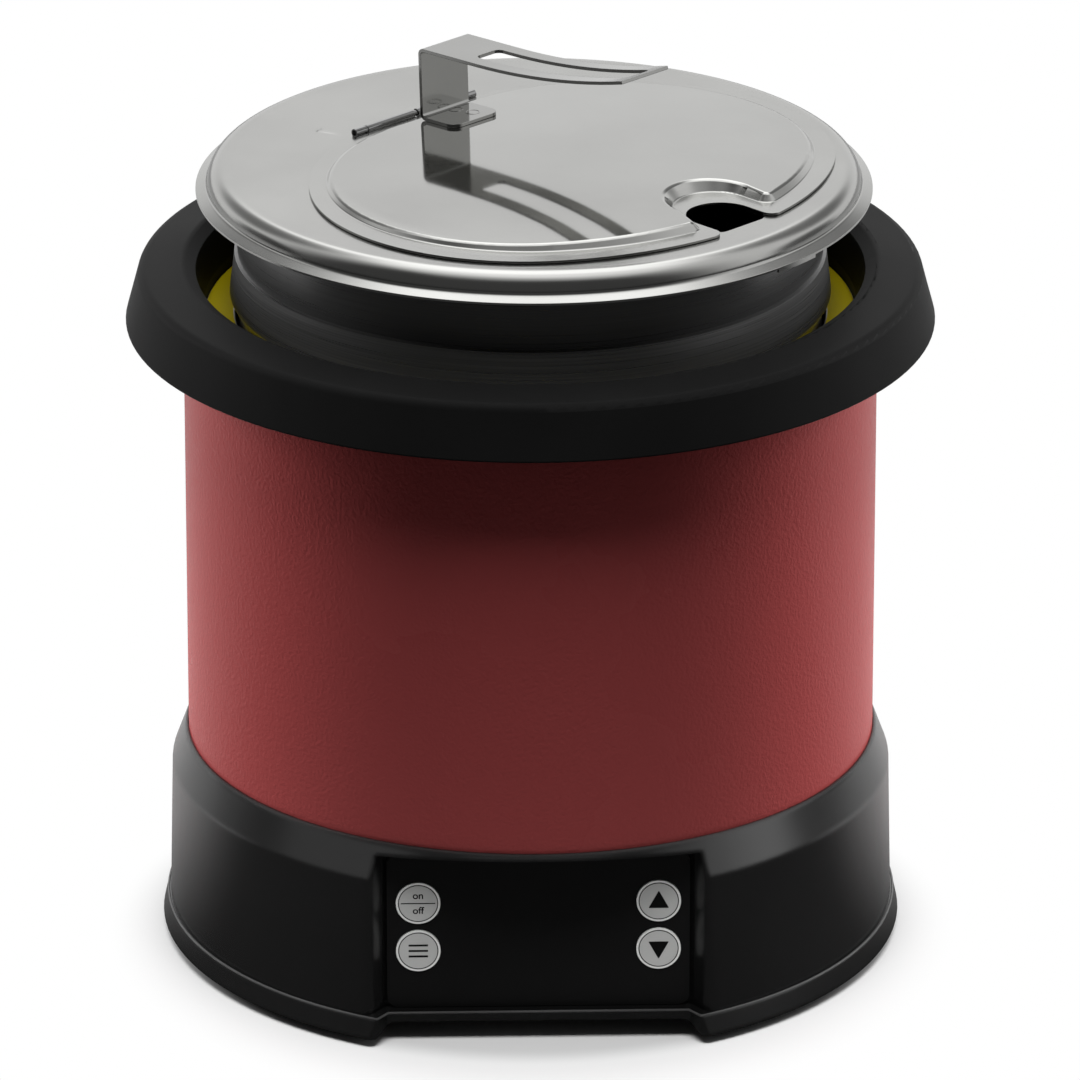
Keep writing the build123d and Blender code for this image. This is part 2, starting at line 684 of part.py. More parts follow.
with BuildPart() as display_module:
    with BuildSketch(board_plane):
        with Locations((0, board_middle)):
            Rectangle(WINDOW_WIDTH - 2 * SLIP_GAP, WINDOW_HEIGHT - 2 * SLIP_GAP)
    extrude(amount=pocket_floor - control_board_front - SLIP_GAP)
save(display_module, "display_module")

# Painted shell with a seal at each end
with BuildPart() as body_shell:
    with BuildSketch(Plane.XY.offset(shell_bottom)):
        Circle(shell_radius)
        Circle(shell_inner_radius, mode=Mode.SUBTRACT)
    extrude(amount=shell_top - shell_bottom)
save(body_shell, "body_shell")

for seal_name, seal_height in (("base_gasket", shelf), ("collar_gasket", shell_top)):
    with BuildPart() as seal:
        with BuildSketch(Plane.XY.offset(seal_height)):
            Circle(shell_radius)
            Circle(shell_inner_radius, mode=Mode.SUBTRACT)
        extrude(amount=GASKET)
    save(seal, seal_name)

# Collar: one ring section, with a groove for the shell and a ledge for the well
socket_inner = shell_inner_radius - SLIP_GAP
collar_ledge = well_flange - WELL_WALL
collar_foot = collar_ledge - COLLAR_LEDGE
rib_radius = groove_radius + COLLAR_WALL
with BuildPart() as top_collar:
    with BuildSketch(Plane.XZ):
        with BuildLine():
            FilletPolyline(
                (collar_radius, collar_bottom),
                (ridge_radius, collar_ridge),
                (ridge_radius - COLLAR_TOP_WIDTH, collar_top),
                (throat_radius + COLLAR_THROAT_LEAN, collar_top - COLLAR_LIP_DROP),
                (throat_radius, well_flange + COLLAR_THROAT_HEIGHT),
                (throat_radius, collar_ledge),
                (throat_radius - COLLAR_LEDGE, collar_ledge),
                (throat_radius - COLLAR_LEDGE, collar_foot),
                (socket_inner, collar_foot),
                (socket_inner, shell_top + GASKET),
                (groove_radius, shell_top + GASKET),
                (groove_radius, shell_top - COLLAR_RIB_HEIGHT),
                (rib_radius, shell_top - COLLAR_RIB_HEIGHT),
                (rib_radius, collar_top - COLLAR_WALL),
                (ridge_radius - COLLAR_WALL, collar_ridge - COLLAR_WALL),
                (collar_radius - COLLAR_WALL, collar_bottom),
                radius=[COLLAR_EDGE_ROUND, COLLAR_RIDGE_ROUND, COLLAR_RIM_ROUND, COLLAR_LIP_ROUND]
                + [0] * 12,
                close=True,
            )
        make_face()
    revolve(axis=Axis.Z)
    with BuildSketch(Plane.XY.offset(collar_foot)):
        with PolarLocations(rod_circle, 4, start_angle=FOUR_CORNERS):
            Circle(ROD_RADIUS + SCREW_GAP)
    extrude(amount=ROD_GRIP + SCREW_GAP, mode=Mode.SUBTRACT)
save(top_collar, "top_collar")

with BuildPart() as tie_rods:
    with BuildSketch(Plane.XY.offset(shelf_under)):
        with PolarLocations(rod_circle, 4, start_angle=FOUR_CORNERS):
            RegularPolygon(ROD_HEAD_RADIUS, 6)
    extrude(amount=-ROD_HEAD_HEIGHT)
    with BuildSketch(Plane.XY.offset(shelf_under)):
        with PolarLocations(rod_circle, 4, start_angle=FOUR_CORNERS):
            Circle(ROD_RADIUS)
    extrude(amount=collar_foot + ROD_GRIP - shelf_under)
save(tie_rods, "tie_rods")

# Well, hung by its flange, and the plain band on the flange
with BuildPart() as well_liner:
    with BuildSketch(Plane.XZ):
        with BuildLine():
            FilletPolyline(
                (0, well_under),
                (well_radius + WELL_WALL, well_under),
                (well_radius + WELL_WALL, well_flange - WELL_WALL),
                (flange_radius, well_flange - WELL_WALL),
                (flange_radius, well_flange),
                (well_radius, well_flange),
                (well_radius, well_floor),
                (0, well_floor),
                radius=[0, WELL_CORNER + WELL_WALL, 0, 0, 0, WELL_MOUTH_ROUND, WELL_CORNER, 0],
                close=True,
            )
        make_face()
    revolve(axis=Axis.Z)
save(well_liner, "well_liner")

with BuildPart() as well_band:
    with BuildSketch(Plane.XY.offset(well_flange)):
        Circle(flange_radius - BAND_INSET)
        Circle(well_radius + WELL_MOUTH_ROUND + BAND_INSET, mode=Mode.SUBTRACT)
    extrude(amount=BAND_THICKNESS)
save(well_band, "well_band")

# Coil stack, from the well's floor down
coil_top = well_under - PAD_THICKNESS
carrier_top = coil_top - COIL_THICKNESS
carrier_under = carrier_top - CARRIER_PLATE
with BuildPart() as insulation_pad:
    with BuildSketch(Plane.XY.offset(coil_top)):
        Circle(COIL_OUTER_RADIUS + PAD_MARGIN)
        Circle(SENSOR_RADIUS + SLIP_GAP, mode=Mode.SUBTRACT)
    extrude(amount=PAD_THICKNESS)
save(insulation_pad, "insulation_pad")

with BuildPart() as induction_coil:
    with BuildSketch(Plane.XY.offset(carrier_top)):
        Circle(COIL_OUTER_RADIUS)
        Circle(COIL_INNER_RADIUS, mode=Mode.SUBTRACT)
    extrude(amount=COIL_THICKNESS)
save(induction_coil, "induction_coil")

with BuildPart() as coil_carrier:
    with BuildSketch(Plane.XY.offset(carrier_under)):
        Circle(carrier_radius)
        Circle(SENSOR_RADIUS + SLIP_GAP, mode=Mode.SUBTRACT)
    extrude(amount=CARRIER_PLATE)
    with BuildSketch(Plane.XY.offset(shelf)):
        Circle(carrier_radius)
        Circle(carrier_radius - CARRIER_SKIRT, mode=Mode.SUBTRACT)
    extrude(amount=carrier_under - shelf)
save(coil_carrier, "coil_carrier")

with BuildPart() as ferrite_bars:
    with BuildSketch(Plane.XY.offset(carrier_under)):
        with PolarLocations((COIL_INNER_RADIUS + COIL_OUTER_RADIUS) / 2, FERRITE_COUNT):
            Rectangle(FERRITE_LENGTH, FERRITE_WIDTH)
    extrude(amount=-FERRITE_HEIGHT)
save(ferrite_bars, "ferrite_bars")

with BuildPart() as temperature_sensor:
    with BuildSketch(Plane.XY.offset(carrier_under)):
        Circle(SENSOR_FLANGE_RADIUS)
    extrude(amount=-SENSOR_FLANGE)
    with BuildSketch(Plane.XY.offset(carrier_under)):
        Circle(SENSOR_RADIUS)
    extrude(amount=well_under - carrier_under)
save(temperature_sensor, "temperature_sensor")

# Power electronics on standoffs over the pan
board_under = ledge + STANDOFF_HEIGHT
board_top = board_under + BOARD
with BuildPart() as board_standoffs:
    with BuildSketch(Plane.XY.offset(ledge)):
        with Locations((0, POWER_BOARD_Y)):
            with GridLocations(
                POWER_BOARD_WIDTH - 4 * STANDOFF_RADIUS, POWER_BOARD_DEPTH - 4 * STANDOFF_RADIUS, 2, 2
            ):
                Circle(STANDOFF_RADIUS)
    extrude(amount=STANDOFF_HEIGHT)
save(board_standoffs, "board_standoffs")

with BuildPart() as power_board:
    with BuildSketch(Plane.XY.offset(board_under)):
        with Locations((0, POWER_BOARD_Y)):
            Rectangle(POWER_BOARD_WIDTH, POWER_BOARD_DEPTH)
    extrude(amount=BOARD)
save(power_board, "power_board")

sink_left = -POWER_BOARD_WIDTH / 2
sink_front = POWER_BOARD_Y - POWER_BOARD_DEPTH / 2
with BuildPart() as heat_sink:
    with BuildSketch(Plane.XY.offset(board_top)):
        with Locations((sink_left + SINK_WIDTH / 2, sink_front + SINK_DEPTH / 2)):
            Rectangle(SINK_WIDTH, SINK_DEPTH)
    extrude(amount=SINK_BASE)
    with BuildSketch(Plane.XY.offset(board_top + SINK_BASE)):
        with Locations((sink_left + SINK_WIDTH / 2, sink_front + SINK_DEPTH / 2)):
            with GridLocations((SINK_WIDTH - SINK_FIN) / (SINK_FINS - 1), 0, SINK_FINS, 1):
                Rectangle(SINK_FIN, SINK_DEPTH)
    extrude(amount=SINK_HEIGHT - SINK_BASE)
save(heat_sink, "heat_sink")

sink_back = sink_front + SINK_DEPTH
with BuildPart() as power_transistors:
    with BuildSketch(Plane.XY.offset(board_top)):
        with Locations((sink_left + SINK_WIDTH / 2, sink_back + TRANSISTOR_DEPTH / 2)):
            with GridLocations(2 * TRANSISTOR_WIDTH, 0, 2, 1):
                Rectangle(TRANSISTOR_WIDTH, TRANSISTOR_DEPTH)
    extrude(amount=TRANSISTOR_HEIGHT)
save(power_transistors, "power_transistors")

sink_right = sink_left + SINK_WIDTH
with BuildPart() as rectifier_bridge:
    with BuildSketch(Plane.XY.offset(board_top)):
        with Locations((sink_right + RECTIFIER_DEPTH / 2, sink_front + SINK_DEPTH / 2)):
            Rectangle(RECTIFIER_DEPTH, RECTIFIER_WIDTH)
    extrude(amount=RECTIFIER_HEIGHT)
save(rectifier_bridge, "rectifier_bridge")

parts_right = sink_right + RECTIFIER_DEPTH
free_width = POWER_BOARD_WIDTH / 2 - parts_right
with BuildPart() as filter_capacitors:
    with BuildSketch(Plane.XY.offset(board_top)):
        with Locations((parts_right + free_width / 2, sink_front + 1.2 * CAPACITOR_RADIUS)):
            with GridLocations(2.2 * CAPACITOR_RADIUS, 0, 3, 1):
                Circle(CAPACITOR_RADIUS)
    extrude(amount=CAPACITOR_HEIGHT)
save(filter_capacitors, "filter_capacitors")

with BuildPart() as filter_choke:
    with BuildSketch(Plane.XY.offset(board_top)):
        with Locations((parts_right + free_width / 2, sink_front + 2.6 * CAPACITOR_RADIUS + CHOKE_RADIUS)):
            Circle(CHOKE_RADIUS)
            Circle(CHOKE_BORE, mode=Mode.SUBTRACT)
    extrude(amount=CHOKE_HEIGHT)
save(filter_choke, "filter_choke")

# Cooling fan: frame with a bearing tube on struts, and the rotor on its shaft
fan_bottom = ledge + FAN_POST
fan_top = fan_bottom + FAN_DEPTH
with BuildPart() as fan_posts:
    with BuildSketch(Plane.XY.offset(ledge)):
        with Locations((0, FAN_Y)):
            with GridLocations(FAN_POST_SPACING, FAN_POST_SPACING, 2, 2):
                Circle(FAN_POST_RADIUS)
    extrude(amount=FAN_POST)
save(fan_posts, "fan_posts")

with BuildPart() as fan_frame:
    with BuildSketch(Plane.XY.offset(fan_bottom)):
        with Locations((0, FAN_Y)):
            RectangleRounded(FAN_SIZE, FAN_SIZE, FAN_POST_RADIUS)
            Circle(FAN_BORE_RADIUS, mode=Mode.SUBTRACT)
    extrude(amount=FAN_DEPTH)
    with BuildSketch(Plane.XY.offset(fan_bottom)):
        with Locations((0, FAN_Y)):
            with GridLocations(0, 0, 1, 1):
                Rectangle(2 * FAN_BORE_RADIUS + FAN_STRUT, FAN_STRUT)
                Rectangle(FAN_STRUT, 2 * FAN_BORE_RADIUS + FAN_STRUT)
            Circle(FAN_HUB_RADIUS)
    extrude(amount=FAN_STRUT)
    with BuildSketch(Plane.XY.offset(fan_bottom + FAN_STRUT)):
        with Locations((0, FAN_Y)):
            Circle(FAN_BEARING_RADIUS)
    extrude(amount=FAN_DEPTH / 2)
    with BuildSketch(Plane.XY.offset(fan_bottom + FAN_STRUT)):
        with Locations((0, FAN_Y)):
            Circle(FAN_SHAFT_RADIUS + RUNNING_GAP)
    extrude(amount=FAN_DEPTH / 2, mode=Mode.SUBTRACT)
save(fan_frame, "fan_frame")

hub_bottom = fan_bottom + FAN_STRUT + FAN_TIP_GAP
hub_top = fan_top - FAN_TIP_GAP
blade_reach = FAN_BORE_RADIUS - FAN_TIP_GAP
blade_rise = 0.7 * (hub_top - hub_bottom)
with BuildPart() as fan_rotor:
    with BuildSketch(Plane.XY.offset(hub_bottom)):
        with Locations((0, FAN_Y)):
            Circle(FAN_HUB_RADIUS)
    extrude(amount=hub_top - hub_bottom)
    # One pitched blade, trimmed to the bore, then set round the hub
    with BuildPart(mode=Mode.PRIVATE) as blade:
        blade_plane = Plane(
            origin=(0, 0, (hub_bottom + hub_top) / 2), x_dir=(0, 1, 0), z_dir=(1, 0, 0)
        )
        with BuildSketch(blade_plane.offset(FAN_HUB_RADIUS - FAN_HUB_WALL)):
            Rectangle(blade_rise / sin(radians(FAN_BLADE_PITCH)), FAN_BLADE, rotation=FAN_BLADE_PITCH)
        extrude(amount=FAN_BORE_RADIUS)
        with BuildSketch(Plane.XY.offset(hub_bottom)):
            Circle(blade_reach)
        extrude(amount=hub_top - hub_bottom, mode=Mode.INTERSECT)
    with Locations((0, FAN_Y)):
        with PolarLocations(0, FAN_BLADES):
            add(blade.part)
    with BuildSketch(Plane.XY.offset(hub_bottom)):
        with Locations((0, FAN_Y)):
            Circle(FAN_HUB_RADIUS - FAN_HUB_WALL)
    extrude(amount=hub_top - hub_bottom - FAN_HUB_WALL, mode=Mode.SUBTRACT)
    with BuildSketch(Plane.XY.offset(fan_bottom + FAN_STRUT + SLIP_GAP)):
        with Locations((0, FAN_Y)):
            Circle(FAN_SHAFT_RADIUS)
    extrude(amount=hub_top - FAN_HUB_WALL - fan_bottom - FAN_STRUT - SLIP_GAP)
save(fan_rotor, "fan_rotor")

# Inset: drawn pot with a neck, a band and a turned-out rim, and its magnetic disc
band_top = inset_rim - INSET_NECK_DROP
band_bottom = band_top - INSET_BAND_HEIGHT


def pot_wall(inward):
    """Points up the pot's wall, from its floor to the rim, moved in by a wall."""
    return [
        (INSET_BODY_RADIUS - inward, pot_bottom + inward),
        (INSET_BODY_RADIUS - inward, band_bottom),
        (band_radius - inward, band_bottom + INSET_WALL),
        (band_radius - INSET_BAND_TAPER - inward, band_top),
        (neck_radius - inward, band_top + INSET_WALL),
        (neck_radius - inward, inset_rim - INSET_WALL + inward),
        (rim_radius, inset_rim - INSET_WALL + inward),
    ]


with BuildPart() as inset_pot:
    with BuildSketch(Plane.XZ):
        with BuildLine():
            FilletPolyline(
                (0, pot_bottom),
                *pot_wall(0),
                *reversed(pot_wall(INSET_WALL)),
                (0, pot_bottom + INSET_WALL),
                radius=[0, INSET_CORNER, 0, BAND_ROUND, 0, 0, INSET_FLARE, 0]
                + [0, INSET_FLARE + INSET_WALL, 0, 0, 0, 0, INSET_CORNER - INSET_WALL, 0],
                close=True,
            )
        make_face()
    revolve(axis=Axis.Z)
save(inset_pot, "inset_pot")

with BuildPart() as inset_base_disc:
    with BuildSketch(Plane.XY.offset(inset_bottom)):
        Circle(INSET_BODY_RADIUS - DISC_INSET)
    extrude(amount=DISC_THICKNESS)
    chamfer(inset_base_disc.faces().sort_by(Axis.Z)[0].edges(), DISC_THICKNESS / 3)
save(inset_base_disc, "inset_base_disc")

# Lid and flap share one frame: x from the hinge to the notch, z up
flap_frame = Plane(
    origin=(-FLAP_OFFSET * sin(radians(FLAP_ANGLE)), FLAP_OFFSET * cos(radians(FLAP_ANGLE)), 0),
    x_dir=(cos(radians(FLAP_ANGLE)), sin(radians(FLAP_ANGLE)), 0),
    z_dir=(0, 0, 1),
)
hinge_plane = Plane(
    origin=flap_frame.from_local_coords((FLAP_BACK - HINGE_BEHIND, 0, pin_height)),
    x_dir=flap_frame.x_dir,
    z_dir=-flap_frame.y_dir,
)
knuckle_middle = (KNUCKLE_SLOT + KNUCKLE_LENGTH) / 2
lug_inner = knuckle_middle + KNUCKLE_LENGTH / 2 + LUG_GAP
lug_middle = lug_inner + LUG_LENGTH / 2
pin_length = 2 * (lug_inner + LUG_LENGTH - PIN_RECESS)


def rounded_d(front, side_centre, side_radius, side_offset):
    """Straight back edge, two side arcs tangent to it and one front arc."""
    back = side_centre - side_radius
    bulge = front - side_centre - side_radius
    reach = (side_offset**2 - bulge**2) / (2 * bulge)
    front_centre = side_centre - reach
    front_radius = front - front_centre
    spread = sqrt(reach**2 + side_offset**2)
    join_x = front_centre + front_radius * reach / spread
    join_y = front_radius * side_offset / spread
    with BuildSketch() as outline:
        with BuildLine():
            Line((back, side_offset), (back, -side_offset))
            RadiusArc((back, -side_offset), (join_x, -join_y), -side_radius)
            ThreePointArc((join_x, -join_y), (front, 0), (join_x, join_y))
            RadiusArc((join_x, join_y), (back, side_offset), -side_radius)
        make_face()
    return outline.sketch


def notch_shape(radius, centre, side, flare):
    """U-shaped cut that opens towards the flap's front, its near side by a flare."""
    reach = FLAP_FRONT
    with BuildSketch() as cut:
        with Locations((centre, side)):
            Circle(radius)
        with BuildLine():
            Polyline(
                (centre, side + radius),
                (centre, side - radius),
                (centre + reach, side - radius - flare * reach),
                (centre + reach, side + radius),
                close=True,
            )
        make_face()
    return cut.sketch


flap_round = rounded_d(FLAP_FRONT, FLAP_SIDE_CENTRE, FLAP_SIDE_RADIUS, FLAP_SIDE_OFFSET)
tail_growth = FLAP_TAIL_RADIUS - FLAP_SIDE_RADIUS
tail_centre = FLAP_SIDE_CENTRE + tail_growth * cos(radians(FLAP_TAIL_TURN))
tail_offset = FLAP_SIDE_OFFSET - tail_growth * sin(radians(FLAP_TAIL_TURN))
tail_start = FLAP_SIDE_CENTRE - FLAP_SIDE_RADIUS * cos(radians(FLAP_TAIL_TURN))
with BuildSketch() as flap_outline:
    with Locations((tail_centre, tail_offset), (tail_centre, -tail_offset)):
        Circle(FLAP_TAIL_RADIUS)
    with Locations((tail_start, 0)):
        Rectangle(
            tail_start - FLAP_BACK,
            4 * FLAP_TAIL_RADIUS,
            align=(Align.MAX, Align.CENTER),
            mode=Mode.INTERSECT,
        )
    add(flap_round)
    add(notch_shape(NOTCH_RADIUS, NOTCH_CENTRE, NOTCH_SIDE, 0), mode=Mode.SUBTRACT)
    fillet(flap_outline.vertices().sort_by(Axis.X)[-2:], NOTCH_LIP_ROUND)

with BuildSketch() as plateau_outline:
    with Locations((0, PLATEAU_SIDE)):
        add(rounded_d(PLATEAU_FRONT, PLATEAU_SIDE_CENTRE, PLATEAU_SIDE_RADIUS, PLATEAU_SIDE_OFFSET))
    add(
        notch_shape(
            NOTCH_RADIUS + NOTCH_MARGIN,
            NOTCH_CENTRE - NOTCH_STEP_BACK,
            NOTCH_SIDE + NOTCH_STEP_SIDE,
            NOTCH_STEP_FLARE,
        ),
        mode=Mode.SUBTRACT,
    )
    fillet(plateau_outline.vertices().sort_by(Axis.X)[-2:], NOTCH_STEP_ROUND)

with BuildSketch() as cover_opening:
    add(flap_round)
    offset(amount=-OPENING_OVERLAP)
    with Locations((NOTCH_CENTRE, NOTCH_SIDE)):
        RectangleRounded(
            2 * (FLAP_FRONT - NOTCH_CENTRE - OPENING_LIP), 2 * NOTCH_RADIUS, NOTCH_LIP_ROUND
        )

riser_foot_radius = lid_radius - LID_FLANGE
riser_top_radius = riser_foot_radius - LID_SHOULDER_LEAN
flange_edge = lid_bottom + SHEET / cos(radians(LID_FLANGE_SLOPE))
lid_axis = Axis((LID_SHIFT, 0, 0), (0, 0, 1))
with BuildPart() as lid_cover:
    with BuildSketch(Plane.XZ.shift_origin((LID_SHIFT, 0, 0))):
        with BuildLine():
            FilletPolyline(
                (0, lid_top - SHEET),
                (riser_top_radius - SHEET, lid_top - SHEET),
                (riser_foot_radius - SHEET, lid_bottom + (LID_FLANGE + SHEET) * flange_slope),
                (lid_radius, lid_bottom),
                (lid_radius, flange_edge),
                (riser_foot_radius, flange_edge + LID_FLANGE * flange_slope),
                (riser_top_radius, lid_top),
                (0, lid_top),
                radius=[0, LID_SHOULDER_ROUND - SHEET, LID_FOOT_ROUND + SHEET]
                + [SHEET / 3, SHEET / 3, LID_FOOT_ROUND, LID_SHOULDER_ROUND, 0],
                close=True,
            )
        make_face()
    revolve(axis=lid_axis)
    # Opening under the flap
    with BuildSketch(flap_frame.offset(lid_top - SHEET)):
        add(cover_opening.sketch)
    extrude(amount=SHEET, mode=Mode.SUBTRACT)
    # Hinge lugs, bored for the pin
    for side in (-1, 1):
        add(lug_blank(PIN_RADIUS + LUG_WALL, LUG_LENGTH, side * lug_middle))
    with BuildSketch(hinge_plane):
        Circle(PIN_RADIUS)
    extrude(amount=pin_length, both=True, mode=Mode.SUBTRACT)
    # Small tab that hangs from the flange's edge
    with BuildSketch(Plane((LID_SHIFT, 0, lid_bottom - LID_TAB_DROP))):
        with PolarLocations(lid_radius, 1, start_angle=LID_TAB_ANGLE):
            Rectangle(LID_FLANGE, LID_TAB_WIDTH)
        Circle(lid_radius, mode=Mode.INTERSECT)
        Circle(lid_radius - SHEET, mode=Mode.SUBTRACT)
    extrude(amount=LID_TAB_DROP + SHEET / 2)
save(lid_cover, "lid_cover")

with BuildPart() as hinge_pin:
    with BuildSketch(hinge_plane):
        Circle(PIN_RADIUS)
    extrude(amount=pin_length / 2, both=True)
save(hinge_pin, "hinge_pin")

# Flap: flat flange, raised and crowned plateau hollow underneath, and two hinge knuckles
wall_shift = SHEET / cos(radians(STEP_ANGLE)) - SHEET * tan(radians(STEP_ANGLE))
crown_middle = (PLATEAU_SIDE_CENTRE - PLATEAU_SIDE_RADIUS + PLATEAU_FRONT) / 2
crown_drop = sqrt(CROWN_RADIUS**2 - (PLATEAU_FRONT - crown_middle) ** 2)
crown_centre = flap_frame.from_local_coords((crown_middle, PLATEAU_SIDE, plateau - crown_drop))
crown_height = CROWN_RADIUS - crown_drop


def plateau_form(inward, base):
    """Tapered form over the plateau's outline, moved in and topped by the crown."""
    with BuildPart() as form:
        with BuildSketch(flap_frame.offset(base)):
            add(plateau_outline.sketch)
            if inward:
                offset(amount=-wall_shift)
        extrude(amount=STEP_HEIGHT + crown_height + SHEET, taper=STEP_ANGLE)
        with Locations(crown_centre):
            Sphere(CROWN_RADIUS - inward, rotation=(90, 0, 0), mode=Mode.INTERSECT)
    return form.part


with BuildPart() as flap:
    with BuildSketch(flap_frame.offset(flap_under)):
        add(flap_outline.sketch)
    extrude(amount=SHEET)
    add(plateau_form(0, flap_top))
    # The step is rolled at its top and at its foot
    fillet(flap.faces().filter_by(GeomType.SPHERE).edges(), STEP_ROUND)
    plateau_foot = flap_frame.offset(flap_top).from_local_coords(plateau_outline.sketch)
    at_flange = flap.edges().filter_by_position(Axis.Z, flap_top, flap_top)
    foot_edges = at_flange.filter_by(lambda edge: plateau_foot.distance_to(edge @ 0.5) < SEAT_GAP)
    fillet(foot_edges, STEP_FOOT_ROUND)
    add(plateau_form(SHEET, flap_under), mode=Mode.SUBTRACT)
    # Two knuckles are rolled up from the back edge
    for side in (-1, 1):
        with BuildSketch(hinge_plane.offset(side * knuckle_middle)):
            Circle(knuckle_radius)
            with Locations((0, -knuckle_radius)):
                Rectangle(HINGE_BEHIND + SHEET, SHEET, align=(Align.MIN, Align.MIN))
        extrude(amount=KNUCKLE_LENGTH / 2, both=True)
    with BuildSketch(hinge_plane):
        Circle(PIN_RADIUS + RUNNING_GAP)
    extrude(amount=pin_length, both=True, mode=Mode.SUBTRACT)
save(flap, "flap")

# Handle: one bent strip, foot on the plateau, with a slot in the grip
foot_middle = FLAP_BACK + HANDLE_AHEAD + HANDLE_FOOT / 2
foot_tilt = asin((crown_middle - foot_middle) / CROWN_RADIUS)
foot_height = plateau - crown_drop + CROWN_RADIUS * cos(foot_tilt) + WELD_GAP
handle_plane = Plane(
    origin=flap_frame.from_local_coords(
        (
            foot_middle - HANDLE_FOOT / 2 * cos(foot_tilt),
            HANDLE_SIDE,
            foot_height - HANDLE_FOOT / 2 * sin(foot_tilt),
        )
    ),
    x_dir=flap_frame.x_dir * cos(foot_tilt) + Vector(0, 0, sin(foot_tilt)),
    z_dir=-flap_frame.y_dir,
)
grip_plane = Plane(
    origin=handle_plane.from_local_coords((0, HANDLE_HEIGHT / 2, 0)),
    x_dir=handle_plane.x_dir,
    z_dir=handle_plane.y_dir,
)
rise_angle = (GRIP_LENGTH - GRIP_STRAIGHT) / GRIP_RISE_RADIUS
grip_end = (
    GRIP_STRAIGHT + GRIP_RISE_RADIUS * sin(rise_angle),
    HANDLE_HEIGHT + GRIP_RISE_RADIUS * (1 - cos(rise_angle)),
)
with BuildPart() as handle:
    with BuildSketch(handle_plane):
        with BuildLine():
            bend = FilletPolyline(
                (HANDLE_FOOT, 0),
                (0, 0),
                (0, HANDLE_HEIGHT),
                (GRIP_STRAIGHT, HANDLE_HEIGHT),
                radius=HANDLE_BEND,
            )
            TangentArc(bend @ 1, grip_end, tangent=(1, 0))
            offset(amount=HANDLE_STRIP, side=Side.RIGHT)
        make_face()
    extrude(amount=HANDLE_WIDTH / 2, both=True)
    with BuildSketch(grip_plane):
        with Locations((GRIP_SLOT_START + GRIP_SLOT_LENGTH / 2, 0)):
            RectangleRounded(GRIP_SLOT_LENGTH, GRIP_SLOT_WIDTH, GRIP_SLOT_ROUND)
    extrude(amount=2 * HANDLE_HEIGHT, mode=Mode.SUBTRACT)
    foot_tip = handle.edges().filter_by(Axis(handle_plane.origin, handle_plane.y_dir)).group_by(Axis.Z)[0]
    fillet(foot_tip, HANDLE_FOOT_ROUND)
save(handle, "handle")
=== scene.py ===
# %% [markdown]
# # A countertop soup kettle
#
# The solids of the kettle come from a CAD pack, and this script dresses them:
# finishes, printed key marks, a studio and a camera. Everything is in metres,
# +Z is up and the control panel faces -Y.

# %% Load the frame
import json
from math import cos, pi, radians, sin, tan

import bmesh
import bpy
from mathutils import Matrix, Vector


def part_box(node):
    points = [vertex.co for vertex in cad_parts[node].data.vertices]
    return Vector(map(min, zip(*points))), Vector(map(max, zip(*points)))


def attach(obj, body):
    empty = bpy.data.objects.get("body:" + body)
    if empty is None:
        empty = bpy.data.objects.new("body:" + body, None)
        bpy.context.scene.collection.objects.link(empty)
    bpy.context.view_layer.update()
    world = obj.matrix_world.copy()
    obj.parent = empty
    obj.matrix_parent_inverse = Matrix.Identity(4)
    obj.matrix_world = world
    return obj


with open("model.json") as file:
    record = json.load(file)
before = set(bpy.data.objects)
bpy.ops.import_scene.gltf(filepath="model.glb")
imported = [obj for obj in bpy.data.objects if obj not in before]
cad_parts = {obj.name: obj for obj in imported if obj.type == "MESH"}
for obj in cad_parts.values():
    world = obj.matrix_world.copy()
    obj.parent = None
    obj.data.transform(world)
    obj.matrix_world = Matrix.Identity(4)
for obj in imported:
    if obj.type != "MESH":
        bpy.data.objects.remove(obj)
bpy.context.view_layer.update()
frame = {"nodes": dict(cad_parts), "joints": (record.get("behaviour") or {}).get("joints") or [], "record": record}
nodes = frame["nodes"]
MM = 0.001
UP = Vector((0, 0, 1))

# %% [markdown]
# ## Camera
#
# The photograph is a product shot with a long lens, from about 22 degrees above
# the counter and a little to the left of straight on. A long lens keeps the
# verticals almost parallel, so the camera stands far back with a narrow view.

# %% Camera
AIM = Vector((0.0042, 0.0, 0.179))
ELEVATION = radians(22.03)
AZIMUTH = radians(-1.5)
DISTANCE = 4.607
SENSOR = 36.0
LENS = 346.6
FAR_CLIP = 50.0

level = Vector((sin(AZIMUTH), -cos(AZIMUTH), 0))
towards = cos(ELEVATION) * level + sin(ELEVATION) * UP
camera_data = bpy.data.cameras.new("camera")
camera_data.lens = LENS
camera_data.sensor_width = SENSOR
camera_data.clip_end = FAR_CLIP
camera = bpy.data.objects.new("camera", camera_data)
camera.location = AIM + DISTANCE * towards
camera.rotation_euler = towards.to_track_quat("Z", "Y").to_euler()
bpy.context.scene.collection.objects.link(camera)
bpy.context.scene.camera = camera
bpy.context.scene.view_settings.view_transform = "Standard"
print("camera at", [round(v, 3) for v in camera.location])

# %% [markdown]
# ## Studio
#
# The real shot has a white sweep behind the kettle, a large soft ceiling above it
# and a dark room behind the camera. Polished steel is only as good as what it
# mirrors, so the world is white towards the back, brighter still overhead and
# dark towards the front. On each side there is a dim gap between ceiling and
# sweep, and another low down. Matt surfaces take only a share of it, so that the
# back is not washed out, and the camera itself sees white all round. Three dim
# boards low in front give the black base its soft sheen, and light it alone.


# %% Helpers for node trees
def feed(tree, socket, value):
    """Links an output to a socket, or sets a plain value on it."""
    if isinstance(value, bpy.types.NodeSocket):
        tree.links.new(value, socket)
    else:
        socket.default_value = value


